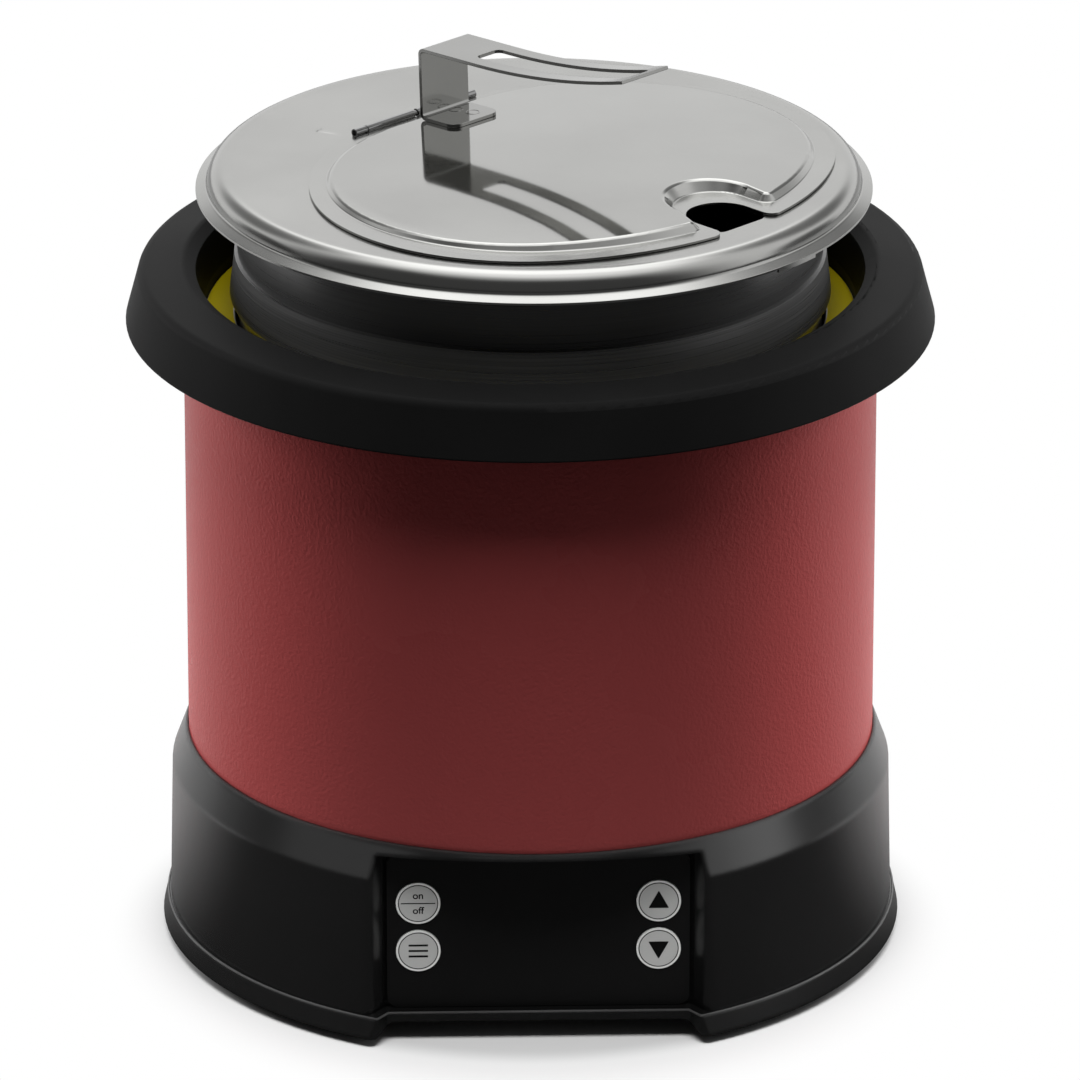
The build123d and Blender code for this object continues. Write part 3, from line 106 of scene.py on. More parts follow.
def value_range(tree, value, low, high, to_low, to_high):
    """A smooth step of a value from one range to another."""
    step = tree.nodes.new("ShaderNodeMapRange")
    step.interpolation_type = "SMOOTHSTEP"
    labels = ("Value", "From Min", "From Max", "To Min", "To Max")
    for label, number in zip(labels, (value, low, high, to_low, to_high)):
        feed(tree, step.inputs[label], number)
    return step.outputs["Result"]


def calculated(tree, operation, *values):
    """A Math node fed with outputs or numbers."""
    node = tree.nodes.new("ShaderNodeMath")
    node.operation = operation
    for socket, value in zip(node.inputs, values):
        feed(tree, socket, value)
    return node.outputs[0]


def vector_step(tree, operation, *values):
    """A Vector Math node fed with outputs or vectors, and its vector or its value."""
    node = tree.nodes.new("ShaderNodeVectorMath")
    node.operation = operation
    for socket, value in zip(node.inputs, values):
        feed(tree, socket, value)
    return node.outputs["Value" if operation in ("LENGTH", "DOT_PRODUCT") else "Vector"]


def coordinates(tree, label):
    """Texture coordinates of a kind, whole and split into X, Y and Z."""
    place = tree.nodes.new("ShaderNodeTexCoord").outputs[label]
    split = tree.nodes.new("ShaderNodeSeparateXYZ")
    tree.links.new(place, split.inputs[0])
    return place, list(split.outputs)


def mixed(tree, share, first, second):
    """Two shaders mixed by a share."""
    mix = tree.nodes.new("ShaderNodeMixShader")
    for socket, value in zip(mix.inputs, (share, first, second)):
        tree.links.new(value, socket)
    return mix.outputs[0]


print("node helpers", [helper.__name__ for helper in (value_range, calculated, vector_step, mixed)])

# %% World
FRONT_TONE = 0.08
BACK_TONE = 1.0
BACK_RANGE = (-0.50, 0.20)
SWEEP_LEAN = 0.3
CEILING_TONE = 1.45
CEILING_RANGE = (0.40, 0.66)
FRONT_RANGE = (-0.62, 0.05)
SIDE_RANGE = (0.10, 0.55)
ZENITH_SHARE = 0.55
ZENITH_RANGE = (0.90, 0.97)
GAP = Vector((0.52, 0.62, 0.59))
GAP_SHARE = 0.25
GAP_RANGE = (0.90, 0.985)
LOW_GAP = Vector((0.95, 0.27, 0.04))
LOW_GAP_SHARE = 0.12
LOW_GAP_RANGE = (0.93, 0.98)
MATT_SHARE = 0.55

world = bpy.data.worlds.new("studio")
bpy.context.scene.world = world
world.use_nodes = True
tree = world.node_tree
tree.nodes.clear()
sweep = tree.nodes.new("ShaderNodeBackground")
white = tree.nodes.new("ShaderNodeBackground")
white.inputs["Color"].default_value = (1, 1, 1, 1)
ray = tree.nodes.new("ShaderNodeLightPath").outputs
out = tree.nodes.new("ShaderNodeOutputWorld")
x, y, z = coordinates(tree, "Generated")[1]
aside = calculated(tree, "ABSOLUTE", x)
leaning = calculated(tree, "MULTIPLY_ADD", x, SWEEP_LEAN, y)
ceiling = value_range(tree, z, *CEILING_RANGE, 0.0, CEILING_TONE)
for share in (
    value_range(tree, y, *FRONT_RANGE, 0.0, 1.0),
    value_range(tree, aside, *SIDE_RANGE, 1.0, 0.0),
    value_range(tree, z, *ZENITH_RANGE, 1.0, ZENITH_SHARE),
):
    ceiling = calculated(tree, "MULTIPLY", ceiling, share)
back = value_range(tree, leaning, *BACK_RANGE, FRONT_TONE, BACK_TONE)
tone = calculated(tree, "ADD", back, ceiling)
folded = tree.nodes.new("ShaderNodeCombineXYZ")
for socket, value in zip(folded.inputs, (aside, y, z)):
    tree.links.new(value, socket)
gaps = ((GAP, GAP_RANGE, GAP_SHARE), (LOW_GAP, LOW_GAP_RANGE, LOW_GAP_SHARE))
for heading, reach, share in gaps:
    toward = vector_step(tree, "DOT_PRODUCT", folded.outputs[0], heading.normalized())
    tone = calculated(tree, "MULTIPLY", tone, value_range(tree, toward, *reach, 1.0, share))
glossy = ray["Is Glossy Ray"]
strength = calculated(tree, "MULTIPLY_ADD", glossy, 1.0 - MATT_SHARE, MATT_SHARE)
tree.links.new(tone, sweep.inputs["Color"])
tree.links.new(strength, sweep.inputs["Strength"])
shown = mixed(tree, ray["Is Camera Ray"], sweep.outputs[0], white.outputs[0])
tree.links.new(shown, out.inputs[0])
print("world from", FRONT_TONE, "to", BACK_TONE)

# %% [markdown]
# The lamps are soft rectangles. A fill stands high in front, and a strip stands on
# each side, a little behind the kettle, to light the edges of the red shell. The
# boards are linked to the two base mouldings, so they light nothing else.

# %% Lamps
FILL_SIZE, FILL_WATTS = (1.8, 0.8), 56
FILL_PLACE, FILL_AIM = (0.0, -1.0, 2.5), (0, 0, 0.1)
STRIP_SIZE, STRIP_AIM = (0.6, 1.2), (0, 0, 0.2)
STRIPS = (("left_strip", (-1.50, 0.60, 0.5), 41), ("right_strip", (1.50, 0.60, 0.5), 46))
BOARD_SIZE, BOARD_WATTS, BOARD_AIM = (1.1, 0.36), 0.42, (0, 0, 0.08)
BOARDS = (
    ("front_board", (0.0, -1.45, 0.48)),
    ("left_board", (-1.20, -0.72, 0.38)),
    ("right_board", (1.20, -0.72, 0.38)),
)


def softbox(name, place, aim, size, watts, mirrored):
    """A rectangular lamp that points at a place, and may stay out of reflections."""
    data = bpy.data.lights.new(name, "AREA")
    data.shape = "RECTANGLE"
    data.size, data.size_y = size
    data.energy = watts
    lamp = bpy.data.objects.new(name, data)
    lamp.location = place
    lamp.rotation_euler = (Vector(place) - Vector(aim)).to_track_quat("Z", "Y").to_euler()
    lamp.visible_glossy = mirrored
    lamp.visible_camera = False
    bpy.context.scene.collection.objects.link(lamp)
    return lamp


softbox("front_fill", FILL_PLACE, FILL_AIM, FILL_SIZE, FILL_WATTS, mirrored=False)
strips = [
    softbox(name, place, STRIP_AIM, STRIP_SIZE, watts, mirrored=False)
    for name, place, watts in STRIPS
]
base_only = bpy.data.collections.new("base_only")
for name in ("base_housing", "base_pan"):
    base_only.objects.link(nodes[name])
for name, place in BOARDS:
    board = softbox(name, place, BOARD_AIM, BOARD_SIZE, BOARD_WATTS, mirrored=True)
    board.light_linking.receiver_collection = base_only

# %% [markdown]
# The floor is a pale sheet. Near the kettle it takes real light and shadow, and a
# darker ring of painted shadow lies where the base meets it. Further out it turns to
# plain white for the camera, so that no horizon shows from any side. Reflections
# find it dark in front, like the unlit room, and grey behind. The side strips are
# flagged off the floor, as a photographer would do.

# %% Floor
FLOOR_RADIUS = 9.0
FLOOR_SIDES = 64
PAPER_TONE = 0.95
ROOM_TONE = 0.05
SWEEP_TONE = 0.75
ROOM_RANGE = (-0.06, 0.14)
SHADOW_FORWARD = 0.020
WHITE_RANGE = (0.146, 0.190)
FAR_RANGE = (0.24, 0.45)
PAINTED_SHADOW_SHARE = 0.72
PAINTED_SHADOW_RANGE = (0.150, 0.167)

bm = bmesh.new()
bmesh.ops.create_circle(bm, cap_ends=True, segments=FLOOR_SIDES, radius=FLOOR_RADIUS)
mesh = bpy.data.meshes.new("floor")
bm.to_mesh(mesh)
bm.free()
floor = bpy.data.objects.new("floor", mesh)
bpy.context.scene.collection.objects.link(floor)
off_floor = bpy.data.collections.new("off_floor")
off_floor.objects.link(floor)
off_floor.collection_objects[0].light_linking.link_state = "EXCLUDE"
for lamp in strips:
    lamp.light_linking.receiver_collection = off_floor
print("floor radius", FLOOR_RADIUS)

# %% Floor paper
paper = bpy.data.materials.new("floor_paper")
paper.use_nodes = True
tree = paper.node_tree
tree.nodes.clear()
place, (x, y, z) = coordinates(tree, "Object")
ray = tree.nodes.new("ShaderNodeLightPath").outputs
forward = vector_step(tree, "ADD", place, (0, SHADOW_FORWARD, 0))
from_shadow = vector_step(tree, "LENGTH", forward)
from_base = vector_step(tree, "LENGTH", place)
# Painted contact shadow: the paper's own tone is darker in a ring round the base.
painted_contact_shadow = value_range(tree, from_base, *PAINTED_SHADOW_RANGE, PAINTED_SHADOW_SHARE * PAPER_TONE, PAPER_TONE)
room = value_range(tree, y, *ROOM_RANGE, ROOM_TONE, SWEEP_TONE)
distant = value_range(tree, from_shadow, *FAR_RANGE, 0.0, 1.0)
far = calculated(tree, "MAXIMUM", distant, ray["Is Glossy Ray"])
tone = tree.nodes.new("ShaderNodeMix")
for label, value in (("Factor", far), ("A", painted_contact_shadow), ("B", room)):
    tree.links.new(value, tone.inputs[label])
fade = value_range(tree, from_shadow, *WHITE_RANGE, 0.0, 1.0)
whiteness = calculated(tree, "MULTIPLY", fade, ray["Is Camera Ray"])
matt = tree.nodes.new("ShaderNodeBsdfDiffuse")
glow = tree.nodes.new("ShaderNodeEmission")
out = tree.nodes.new("ShaderNodeOutputMaterial")
tree.links.new(tone.outputs["Result"], matt.inputs["Color"])
tree.links.new(mixed(tree, whiteness, matt.outputs[0], glow.outputs[0]), out.inputs[0])
mesh.materials.append(paper)
print("floor paper", PAPER_TONE)

# %% [markdown]
# ## Finishes
#
# Each finish is a Principled shader whose colour, roughness and bump come from
# noise in Object coordinates. Two effects are shared: a fine grain for moulded
# and painted surfaces, and fine turned lines for metal worked on a lathe.


# %% Shared effects
def new_group(name, inputs, outputs):
    """An empty shader node group with float sockets."""
    tree = bpy.data.node_groups.new(name, "ShaderNodeTree")
    for label, value in inputs:
        socket = tree.interface.new_socket(label, in_out="INPUT", socket_type="NodeSocketFloat")
        socket.default_value = value
    for label in outputs:
        tree.interface.new_socket(label, in_out="OUTPUT", socket_type="NodeSocketFloat")
    return tree, tree.nodes.new("NodeGroupInput"), tree.nodes.new("NodeGroupOutput")


scales = [("Grain Scale", 900.0), ("Cloud Scale", 14.0)]
grain, entry, leave = new_group("fine_grain", scales, ["Grain", "Cloud"])
place = grain.nodes.new("ShaderNodeTexCoord")
for label, scale, detail in (("Grain", "Grain Scale", 2.0), ("Cloud", "Cloud Scale", 4.0)):
    noise = grain.nodes.new("ShaderNodeTexNoise")
    noise.inputs["Detail"].default_value = detail
    grain.links.new(place.outputs["Object"], noise.inputs["Vector"])
    grain.links.new(entry.outputs[scale], noise.inputs["Scale"])
    grain.links.new(noise.outputs["Fac"], leave.inputs[label])

turned, entry, leave = new_group("turned_lines", [("Line Scale", 1800.0)], ["Lines"])
x, y, z = coordinates(turned, "Object")[1]
round_about = turned.nodes.new("ShaderNodeCombineXYZ")
turned.links.new(calculated(turned, "ARCTAN2", y, x), round_about.inputs["X"])
height = calculated(turned, "MULTIPLY", z, entry.outputs["Line Scale"])
turned.links.new(height, round_about.inputs["Z"])
lines = turned.nodes.new("ShaderNodeTexNoise")
lines.inputs["Scale"].default_value = 1.0
lines.inputs["Detail"].default_value = 3.0
turned.links.new(round_about.outputs[0], lines.inputs["Vector"])
turned.links.new(lines.outputs["Fac"], leave.inputs["Lines"])
print("groups", [group.name for group in bpy.data.node_groups])


# %% A finish from a group
TONE_RANGE = (0.3, 0.7)
CORNER_SAMPLES = 6
STEEL_WARMTH = 0.97


def finish(
    name, group, tone, detail, low, high, rough, bump,
    metallic=0.0, edge=0.0, specular=0.5, **scales,
):
    """A Principled material: tone drives colour and roughness, detail drives bump."""
    material = bpy.data.materials.new(name)
    material.use_nodes = True
    tree = material.node_tree
    shader = tree.nodes["Principled BSDF"]
    shader.inputs["Metallic"].default_value = metallic
    shader.inputs["Specular IOR Level"].default_value = specular
    effect = tree.nodes.new("ShaderNodeGroup")
    effect.node_tree = group
    for label, value in scales.items():
        effect.inputs[label.replace("_", " ").title()].default_value = value
    ramp = tree.nodes.new("ShaderNodeValToRGB")
    for stop, position, colour in zip(ramp.color_ramp.elements, TONE_RANGE, (low, high)):
        stop.position = position
        stop.color = (*colour, 1)
    spread = tree.nodes.new("ShaderNodeMapRange")
    for label, value in zip(("From Min", "From Max", "To Min", "To Max"), (*TONE_RANGE, *rough)):
        spread.inputs[label].default_value = value
    relief = tree.nodes.new("ShaderNodeBump")
    relief.inputs["Strength"].default_value, relief.inputs["Distance"].default_value = bump
    if edge:
        corner = tree.nodes.new("ShaderNodeBevel")
        corner.samples = CORNER_SAMPLES
        corner.inputs["Radius"].default_value = edge
        tree.links.new(corner.outputs[0], relief.inputs["Normal"])
    tree.links.new(effect.outputs[tone], ramp.inputs[0])
    tree.links.new(effect.outputs[tone], spread.inputs["Value"])
    tree.links.new(effect.outputs[detail], relief.inputs["Height"])
    tree.links.new(ramp.outputs[0], shader.inputs["Base Color"])
    tree.links.new(spread.outputs[0], shader.inputs["Roughness"])
    tree.links.new(relief.outputs[0], shader.inputs["Normal"])
    return material


def moulded(name, *looks, **more):
    """A finish with a fine grain."""
    return finish(name, grain, "Cloud", "Grain", *looks, **more)


def lathed(name, *looks, **more):
    """A finish with fine turned lines."""
    return finish(name, turned, "Lines", "Lines", *looks, **more)


def grey(value):
    """A neutral colour."""
    return (value, value, value)


def steel(value):
    """The slightly warm grey of stainless steel."""
    return (value, value, STEEL_WARMTH * value)


def black_plastic(name, edge):
    """The base's plastic, with corners rounded to a radius."""
    return moulded(
        name, grey(0.0040), grey(0.0055), (0.20, 0.26), (0.08, 0.0002),
        specular=1.0, edge=edge, grain_scale=2200.0, cloud_scale=12.0,
    )


print("finish helpers", [helper.__name__ for helper in (moulded, lathed, black_plastic)])

# %% [markdown]
# The shell is semi-gloss paint with a faint orange peel, the base is moulded
# plastic, and the steel runs from polished on the lid to brushed on the inset. The
# names on the left are the material slots of the record. Each finish gives a low
# and a high colour, a range of roughness, and the strength and the distance of its
# bump. A low sheen makes the paint catch a little light where it turns away.

# %% Finishes for the slots
PAN_EDGE = 2.0 * MM
HOUSING_EDGE = 3.0 * MM
PAINT_SHEEN = {"Sheen Weight": 0.4, "Sheen Roughness": 0.30, "Sheen Tint": (1.0, 0.14, 0.14, 1)}

finishes = {
    "body_red": moulded(
        "red_paint", (0.235, 0.0427, 0.0427), (0.239, 0.0433, 0.0433), (0.26, 0.28),
        (0.60, 0.0005), specular=0.06, grain_scale=620.0, cloud_scale=9.0,
    ),
    "base_black": black_plastic("base_plastic", PAN_EDGE),
    "collar_black": moulded(
        "collar_plastic", grey(0.0075), grey(0.0095), (0.42, 0.50), (0.15, 0.0003),
        specular=0.03, grain_scale=1800.0, cloud_scale=12.0,
    ),
    "rubber_black": moulded(
        "foot_rubber", grey(0.012), grey(0.018), (0.7, 0.8), (0.2, 0.0003),
        specular=0.2,
    ),
    "panel_black": moulded(
        "panel_film", grey(0.0080), grey(0.0095), (0.30, 0.36), (0.02, 0.0001),
        specular=0.04, grain_scale=3000.0,
    ),
    "key_grey": moulded(
        "key_cap", (0.76, 0.77, 0.75), (0.80, 0.81, 0.79), (0.40, 0.48), (0.03, 0.0001),
        specular=0.3, grain_scale=2600.0,
    ),
    "band_yellow": moulded(
        "yellow_band", (0.50, 0.40, 0.004), (0.56, 0.45, 0.006), (0.4, 0.5), (0.03, 0.0001),
        specular=0.02,
    ),
    "lid_steel": moulded(
        "lid_polish", steel(0.39), steel(0.43), (0.17, 0.22), (0.004, 0.0001),
        metallic=1.0, grain_scale=1400.0, cloud_scale=16.0,
    ),
    "flap_steel": moulded(
        "flap_polish", steel(0.40), steel(0.44), (0.04, 0.07), (0.004, 0.0001),
        metallic=1.0, edge=0.3 * MM, grain_scale=1400.0, cloud_scale=16.0,
    ),
    "handle_steel": moulded(
        "handle_polish", steel(0.32), steel(0.36), (0.10, 0.15), (0.01, 0.0001),
        metallic=1.0, edge=0.3 * MM, grain_scale=1400.0, cloud_scale=20.0,
    ),
    "inset_steel": lathed(
        "inset_brushed", grey(0.20), grey(0.32), (0.26, 0.34), (0.10, 0.0002),
        metallic=0.84, specular=0.1, line_scale=1500.0,
    ),
    "well_steel": lathed(
        "well_satin", grey(0.40), grey(0.5), (0.3, 0.4), (0.15, 0.0002), metallic=1.0,
        line_scale=900.0,
    ),
    "disc_steel": lathed(
        "disc_ground", grey(0.36), grey(0.44), (0.3, 0.42), (0.2, 0.0002), metallic=1.0,
        line_scale=1200.0,
    ),
    "screw_steel": moulded(
        "screw_zinc", grey(0.50), grey(0.60), (0.3, 0.4), (0.05, 0.0001), metallic=1.0,
    ),
    "sink_aluminium": moulded(
        "sink_extruded", grey(0.60), grey(0.68), (0.32, 0.42), (0.05, 0.0001), metallic=1.0,
    ),
    "sensor_brass": lathed(
        "sensor_turned", (0.55, 0.40, 0.14), (0.62, 0.47, 0.18), (0.25, 0.35),
        (0.1, 0.0002), metallic=1.0,
    ),
    "coil_copper": moulded(
        "coil_wire", (0.42, 0.15, 0.05), (0.55, 0.22, 0.08), (0.35, 0.45), (0.3, 0.0005),
        metallic=0.8, grain_scale=700.0,
    ),
    "ferrite_grey": moulded(
        "ferrite", grey(0.05), grey(0.07), (0.6, 0.7), (0.2, 0.0003),
    ),
    "pad_fibre": moulded(
        "fibre_pad", (0.62, 0.6, 0.55), (0.74, 0.72, 0.66), (0.8, 0.9), (0.5, 0.0006),
        grain_scale=600.0,
    ),
    "carrier_plastic": moulded(
        "carrier_moulding", grey(0.42), grey(0.48), (0.5, 0.6), (0.1, 0.0002),
    ),
    "board_green": moulded(
        "board_mask", (0.012, 0.09, 0.035), (0.02, 0.12, 0.05), (0.35, 0.45), (0.1, 0.0002),
        cloud_scale=40.0,
    ),
    "chip_black": moulded(
        "chip_moulding", grey(0.02), grey(0.03), (0.5, 0.6), (0.15, 0.0002),
    ),
    "capacitor_blue": moulded(
        "capacitor_sleeve", (0.02, 0.03, 0.16), (0.03, 0.05, 0.22), (0.25, 0.35), (0.05, 0.0002),
    ),
    "display_dark": moulded(
        "display_filter", grey(0.01), grey(0.014), (0.2, 0.3), (0.02, 0.0001),
    ),
}
paint = finishes["body_red"].node_tree.nodes["Principled BSDF"]
for label, value in PAINT_SHEEN.items():
    paint.inputs[label].default_value = value
housing_plastic = black_plastic("housing_plastic", HOUSING_EDGE)
key_disc = moulded(
    "key_disc", (0.48, 0.485, 0.475), (0.52, 0.525, 0.515), (0.45, 0.52), (0.03, 0.0001),
    specular=0.3, grain_scale=2600.0,
)
# A painted highlight: the ledge bead is coloured much paler than the base plastic.
painted_highlight_edge = moulded(
    "base_edge", grey(0.045), grey(0.065), (0.30, 0.36), (0.05, 0.0001),
    specular=0.6, grain_scale=2200.0, cloud_scale=12.0,
)
ink_and_groove_shade = moulded(
    "ink_and_groove_shade", grey(0.004), grey(0.006), (0.45, 0.55), (0.03, 0.0001), specular=0.15,
)
print("finishes", len(finishes))

# %% [markdown]
# Some finishes change over one piece. The plateau of the flap is polished like a
# mirror, while the pressed step round it stays satin. The rolled hinge is duller,
# and darker in colour as painted shade; the collar's throat is painted near black
# as its deep shade; and the inset's neck is painted darker than its band, as the
# shade under the lid. A mask from Object coordinates blends one value of a finish
# into another there.

# %% Hinge line
hinge = next(joint for joint in frame["joints"] if joint["name"] == "flap_hinge")
pin = Vector(hinge["pos_m"])
along = Vector(hinge["axis"]).cross(UP).normalized()
if along.y > 0:
    along = -along
beside = UP.cross(along)
print("flap runs along", [round(v, 4) for v in along])


# %% Masks and blends
def from_line(tree, point, axis):
    """The distance of Object coordinates from a line."""
    place = coordinates(tree, "Object")[0]
    offset = vector_step(tree, "SUBTRACT", place, point)
    return vector_step(tree, "LENGTH", vector_step(tree, "CROSS_PRODUCT", offset, axis))


def blend(material, label, mask, value):
    """Mixes a value into one input of a material's shader, by a mask."""
    tree = material.node_tree
    target = tree.nodes["Principled BSDF"].inputs[label]
    mix = tree.nodes.new("ShaderNodeMix")
    if label == "Base Color":
        mix.data_type = "RGBA"
    first, second = [socket for socket in mix.inputs if socket.enabled and socket.name in "AB"]
    result = next(socket for socket in mix.outputs if socket.enabled)
    tree.links.new(mask, mix.inputs[0])
    tree.links.new(target.links[0].from_socket, first)
    second.default_value = value
    tree.links.new(result, target)


HINGE_SHADE_TONE, HINGE_ROUGH = 0.30, 0.2
HINGE_RANGE = (1.88 * MM, 2.0 * MM)
SATIN_ROUGH = 0.18
SATIN_RANGE = (360.7 * MM, 361.1 * MM)
THROAT_SHADE_TONE = 0.001
THROAT_RANGE = (146.2 * MM, 147.2 * MM)
NECK_SHADE_TONE, NECK_SHADE_SHARE = 0.13, 0.75
NECK_RANGE = (317.3 * MM, 317.9 * MM)

for label in ("lid_steel", "flap_steel"):
    tree = finishes[label].node_tree
    reach = from_line(tree, pin, Vector(hinge["axis"]))
    # Painted shade along the hinge: a darker colour, with a duller gloss.
    near = value_range(tree, reach, *HINGE_RANGE, 1.0, 0.0)
    blend(finishes[label], "Base Color", near, (*grey(HINGE_SHADE_TONE), 1))
    blend(finishes[label], "Roughness", near, HINGE_ROUGH)
tree = finishes["flap_steel"].node_tree
x, y, z = coordinates(tree, "Object")[1]
satin = value_range(tree, z, *SATIN_RANGE, 1.0, 0.0)
blend(finishes["flap_steel"], "Roughness", satin, SATIN_ROUGH)
tree = finishes["collar_black"].node_tree
# Painted shade: the collar's throat is coloured near black.
throat = value_range(tree, from_line(tree, Vector(), UP), *THROAT_RANGE, 1.0, 0.0)
blend(finishes["collar_black"], "Base Color", throat, (*grey(THROAT_SHADE_TONE), 1))
tree = finishes["inset_steel"].node_tree
x, y, z = coordinates(tree, "Object")[1]
# Painted shade: the inset's neck, under the lid, is coloured darker than its band.
neck = value_range(tree, z, *NECK_RANGE, 0.0, NECK_SHADE_SHARE)
blend(finishes["inset_steel"], "Base Color", neck, (*grey(NECK_SHADE_TONE), 1))
print("blended", ["lid_steel", "flap_steel", "collar_black", "inset_steel"])

# %% [markdown]
# The record names a slot for each node of the CAD model. The housing alone gets
# its own plastic, because its moulded corners are rounder than the pan's.

# %% Finishes on the CAD nodes
slots = {entry["node"]: entry["material_slot"] for entry in frame["record"]["subparts"]}
for name, node in nodes.items():
    node.data.materials.clear()
    node.data.materials.append(housing_plastic if name == "base_housing" else finishes[slots[name]])
print("dressed", len(nodes), "nodes")

# %% [markdown]
# ## Key marks
#
# Each key has a printed disc inside a light rim, with a thin dark ring round it,
# which is painted shade for the narrow groove between them.
# The left pair switches the kettle and picks a function, the right pair raises
# and lowers. Each mark is a flat outline, extruded to the thickness of ink.

# %% Marks as flat pieces
INK_THICKNESS = 0.04 * MM
FACE_GAP = 0.01 * MM
MARK_LIFT = FACE_GAP + 1.5 * INK_THICKNESS
LETTER_WEIGHT = 0.012
CORNER_SHARE = 0.4
CORNER_STEPS = 4


def flat_piece(name, bm, node, body, material, lift):
    """Turns a flat outline in the XY plane to the key's face, as a thin piece."""
    face = bmesh.ops.extrude_face_region(bm, geom=bm.faces[:])
    risen = [v for v in face["geom"] if isinstance(v, bmesh.types.BMVert)]
    bmesh.ops.translate(bm, vec=(0, 0, INK_THICKNESS), verts=risen)
    bmesh.ops.recalc_face_normals(bm, faces=bm.faces)
    low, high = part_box(node)
    middle = (Vector(low) + Vector(high)) / 2
    turn = Matrix.Rotation(pi / 2, 4, "X")
    place = Matrix.Translation((middle.x, low[1] - lift, middle.z))
    bmesh.ops.transform(bm, matrix=place @ turn, verts=bm.verts)
    mesh = bpy.data.meshes.new(name)
    bm.to_mesh(mesh)
    bm.free()
    mesh.materials.append(material)
    piece = bpy.data.objects.new(name, mesh)
    bpy.context.scene.collection.objects.link(piece)
    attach(piece, body)
    return piece


def spun(bm, geometry, centre, steps):
    """Spins a profile all round an upright axis."""
    bmesh.ops.spin(
        bm, geom=geometry, cent=centre, axis=UP, angle=2 * pi, steps=steps, use_merge=True
    )


def annulus(inner, outer, segments=96):
    """A flat ring, or a disc where the inner radius is 0."""
    bm = bmesh.new()
    if inner == 0:
        bmesh.ops.create_circle(bm, cap_ends=True, segments=segments, radius=outer)
        return bm
    edge = [bm.verts.new((r, 0, 0)) for r in (inner, outer)]
    line = bm.edges.new(edge)
    spun(bm, [*edge, line], Vector(), segments)
    return bm


def outline(points, rounding):
    """A flat polygon with rounded corners."""
    bm = bmesh.new()
    bm.faces.new([bm.verts.new((x, y, 0)) for x, y in points])
    bmesh.ops.bevel(
        bm, geom=bm.verts[:], offset=rounding, segments=CORNER_STEPS, profile=0.5,
        affect="VERTICES", material=-1,
    )
    return bm


def bar(width, height, middle=0.0):
    """A flat rounded bar across the key."""
    x, y = width / 2, height / 2
    corners = [(-x, middle - y), (x, middle - y), (x, middle + y), (-x, middle + y)]
    return outline(corners, CORNER_SHARE * y)


def lettering(word, size, middle):
    """A word as flat faces, centred across the key."""
    curve = bpy.data.curves.new(word, "FONT")
    curve.body = word
    curve.size = size
    curve.offset = LETTER_WEIGHT * size
    curve.align_x = "CENTER"
    curve.align_y = "CENTER"
    helper = bpy.data.objects.new(word, curve)
    mesh = bpy.data.meshes.new_from_object(helper)
    bm = bmesh.new()
    bm.from_mesh(mesh)
    bmesh.ops.translate(bm, vec=(0, middle, 0), verts=bm.verts)
    bpy.data.objects.remove(helper)
    bpy.data.curves.remove(curve)
    bpy.data.meshes.remove(mesh)
    return bm


print("mark helpers", [helper.__name__ for helper in (annulus, outline, bar, lettering)])

# %% Discs, rings and marks
RING_SHARE = 0.86
RING_WIDTH = 0.42 * MM
LETTER_SIZE, ON_HEIGHT, OFF_HEIGHT = 4.6 * MM, 3.6 * MM, -3.5 * MM
DIVIDER = (15 * MM, 0.45 * MM)
MENU_BAR, MENU_PITCH = (8.5 * MM, 0.9 * MM), 2.6 * MM
ARROW = [(-4.5 * MM, -3.3 * MM), (4.5 * MM, -3.3 * MM), (0.0, 5.0 * MM)]
ARROW_ROUND = 0.5 * MM

key_low, key_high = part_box("key_on_off")
key_radius = (key_high[0] - key_low[0]) / 2
marks = {
    "key_on_off": [
        lettering("on", LETTER_SIZE, ON_HEIGHT),
        bar(*DIVIDER),
        lettering("off", LETTER_SIZE, OFF_HEIGHT),
    ],
    "key_function": [bar(*MENU_BAR, step * MENU_PITCH) for step in (-1, 0, 1)],
    "key_up": [outline(ARROW, ARROW_ROUND)],
    "key_down": [outline([(-x, -y) for x, y in ARROW], ARROW_ROUND)],
}
groups = frame["record"]["behaviour"]["bodies"]
bodies = {node: body for body, group in groups.items() for node in group}
for node, shapes in marks.items():
    disc = annulus(0, RING_SHARE * key_radius)
    flat_piece(f"{node}_disc", disc, node, bodies[node], key_disc, FACE_GAP)
    # The dark ring is painted shade, standing for the groove between disc and rim.
    ring = annulus(RING_SHARE * key_radius, RING_SHARE * key_radius + RING_WIDTH)
    flat_piece(f"{node}_ring", ring, node, bodies[node], ink_and_groove_shade, FACE_GAP)
    for count, shape in enumerate(shapes):
        name = f"{node}_mark_{count}"
        flat_piece(name, shape, node, bodies[node], ink_and_groove_shade, MARK_LIFT)
print("marked", list(marks))

# %% [markdown]
# ## Pieces over the solids
#
# The next pieces lie on the solids. A ray cast down finds the surface under a
# place, and one helper turns a bmesh into a piece that rides a body.


# %% Surfaces and pieces
def surface_at(node, place, height=1.0):
    """The point and normal of a node's surface, found by a ray down from a height."""
    above = Vector((place.x, place.y, height))
    hit, spot, normal = nodes[node].ray_cast(above, -UP)[:3]
    assert hit, (node, place)
    return spot, normal


def add_piece(name, bm, body, slot, material, smooth=False):
    """Finishes a bmesh as a piece that rides a body."""
    bmesh.ops.recalc_face_normals(bm, faces=bm.faces)
    mesh = bpy.data.meshes.new(name)
    bm.to_mesh(mesh)
    bm.free()
    if smooth:
        mesh.shade_smooth()
    mesh.materials.append(material)
    piece = bpy.data.objects.new(name, mesh)
    bpy.context.scene.collection.objects.link(piece)
    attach(piece, body)
    return piece


print("piece helpers", [helper.__name__ for helper in (surface_at, add_piece)])

# %% [markdown]
# The cover's rounded shoulder and its sloping flange mirror the whole studio, so
# their reflections show every facet. A thin spun skin lies over them: a profile
# of straight runs, rounded at its corners, then spun round the cover's own axis
# and given a wall that sinks into the sheet.

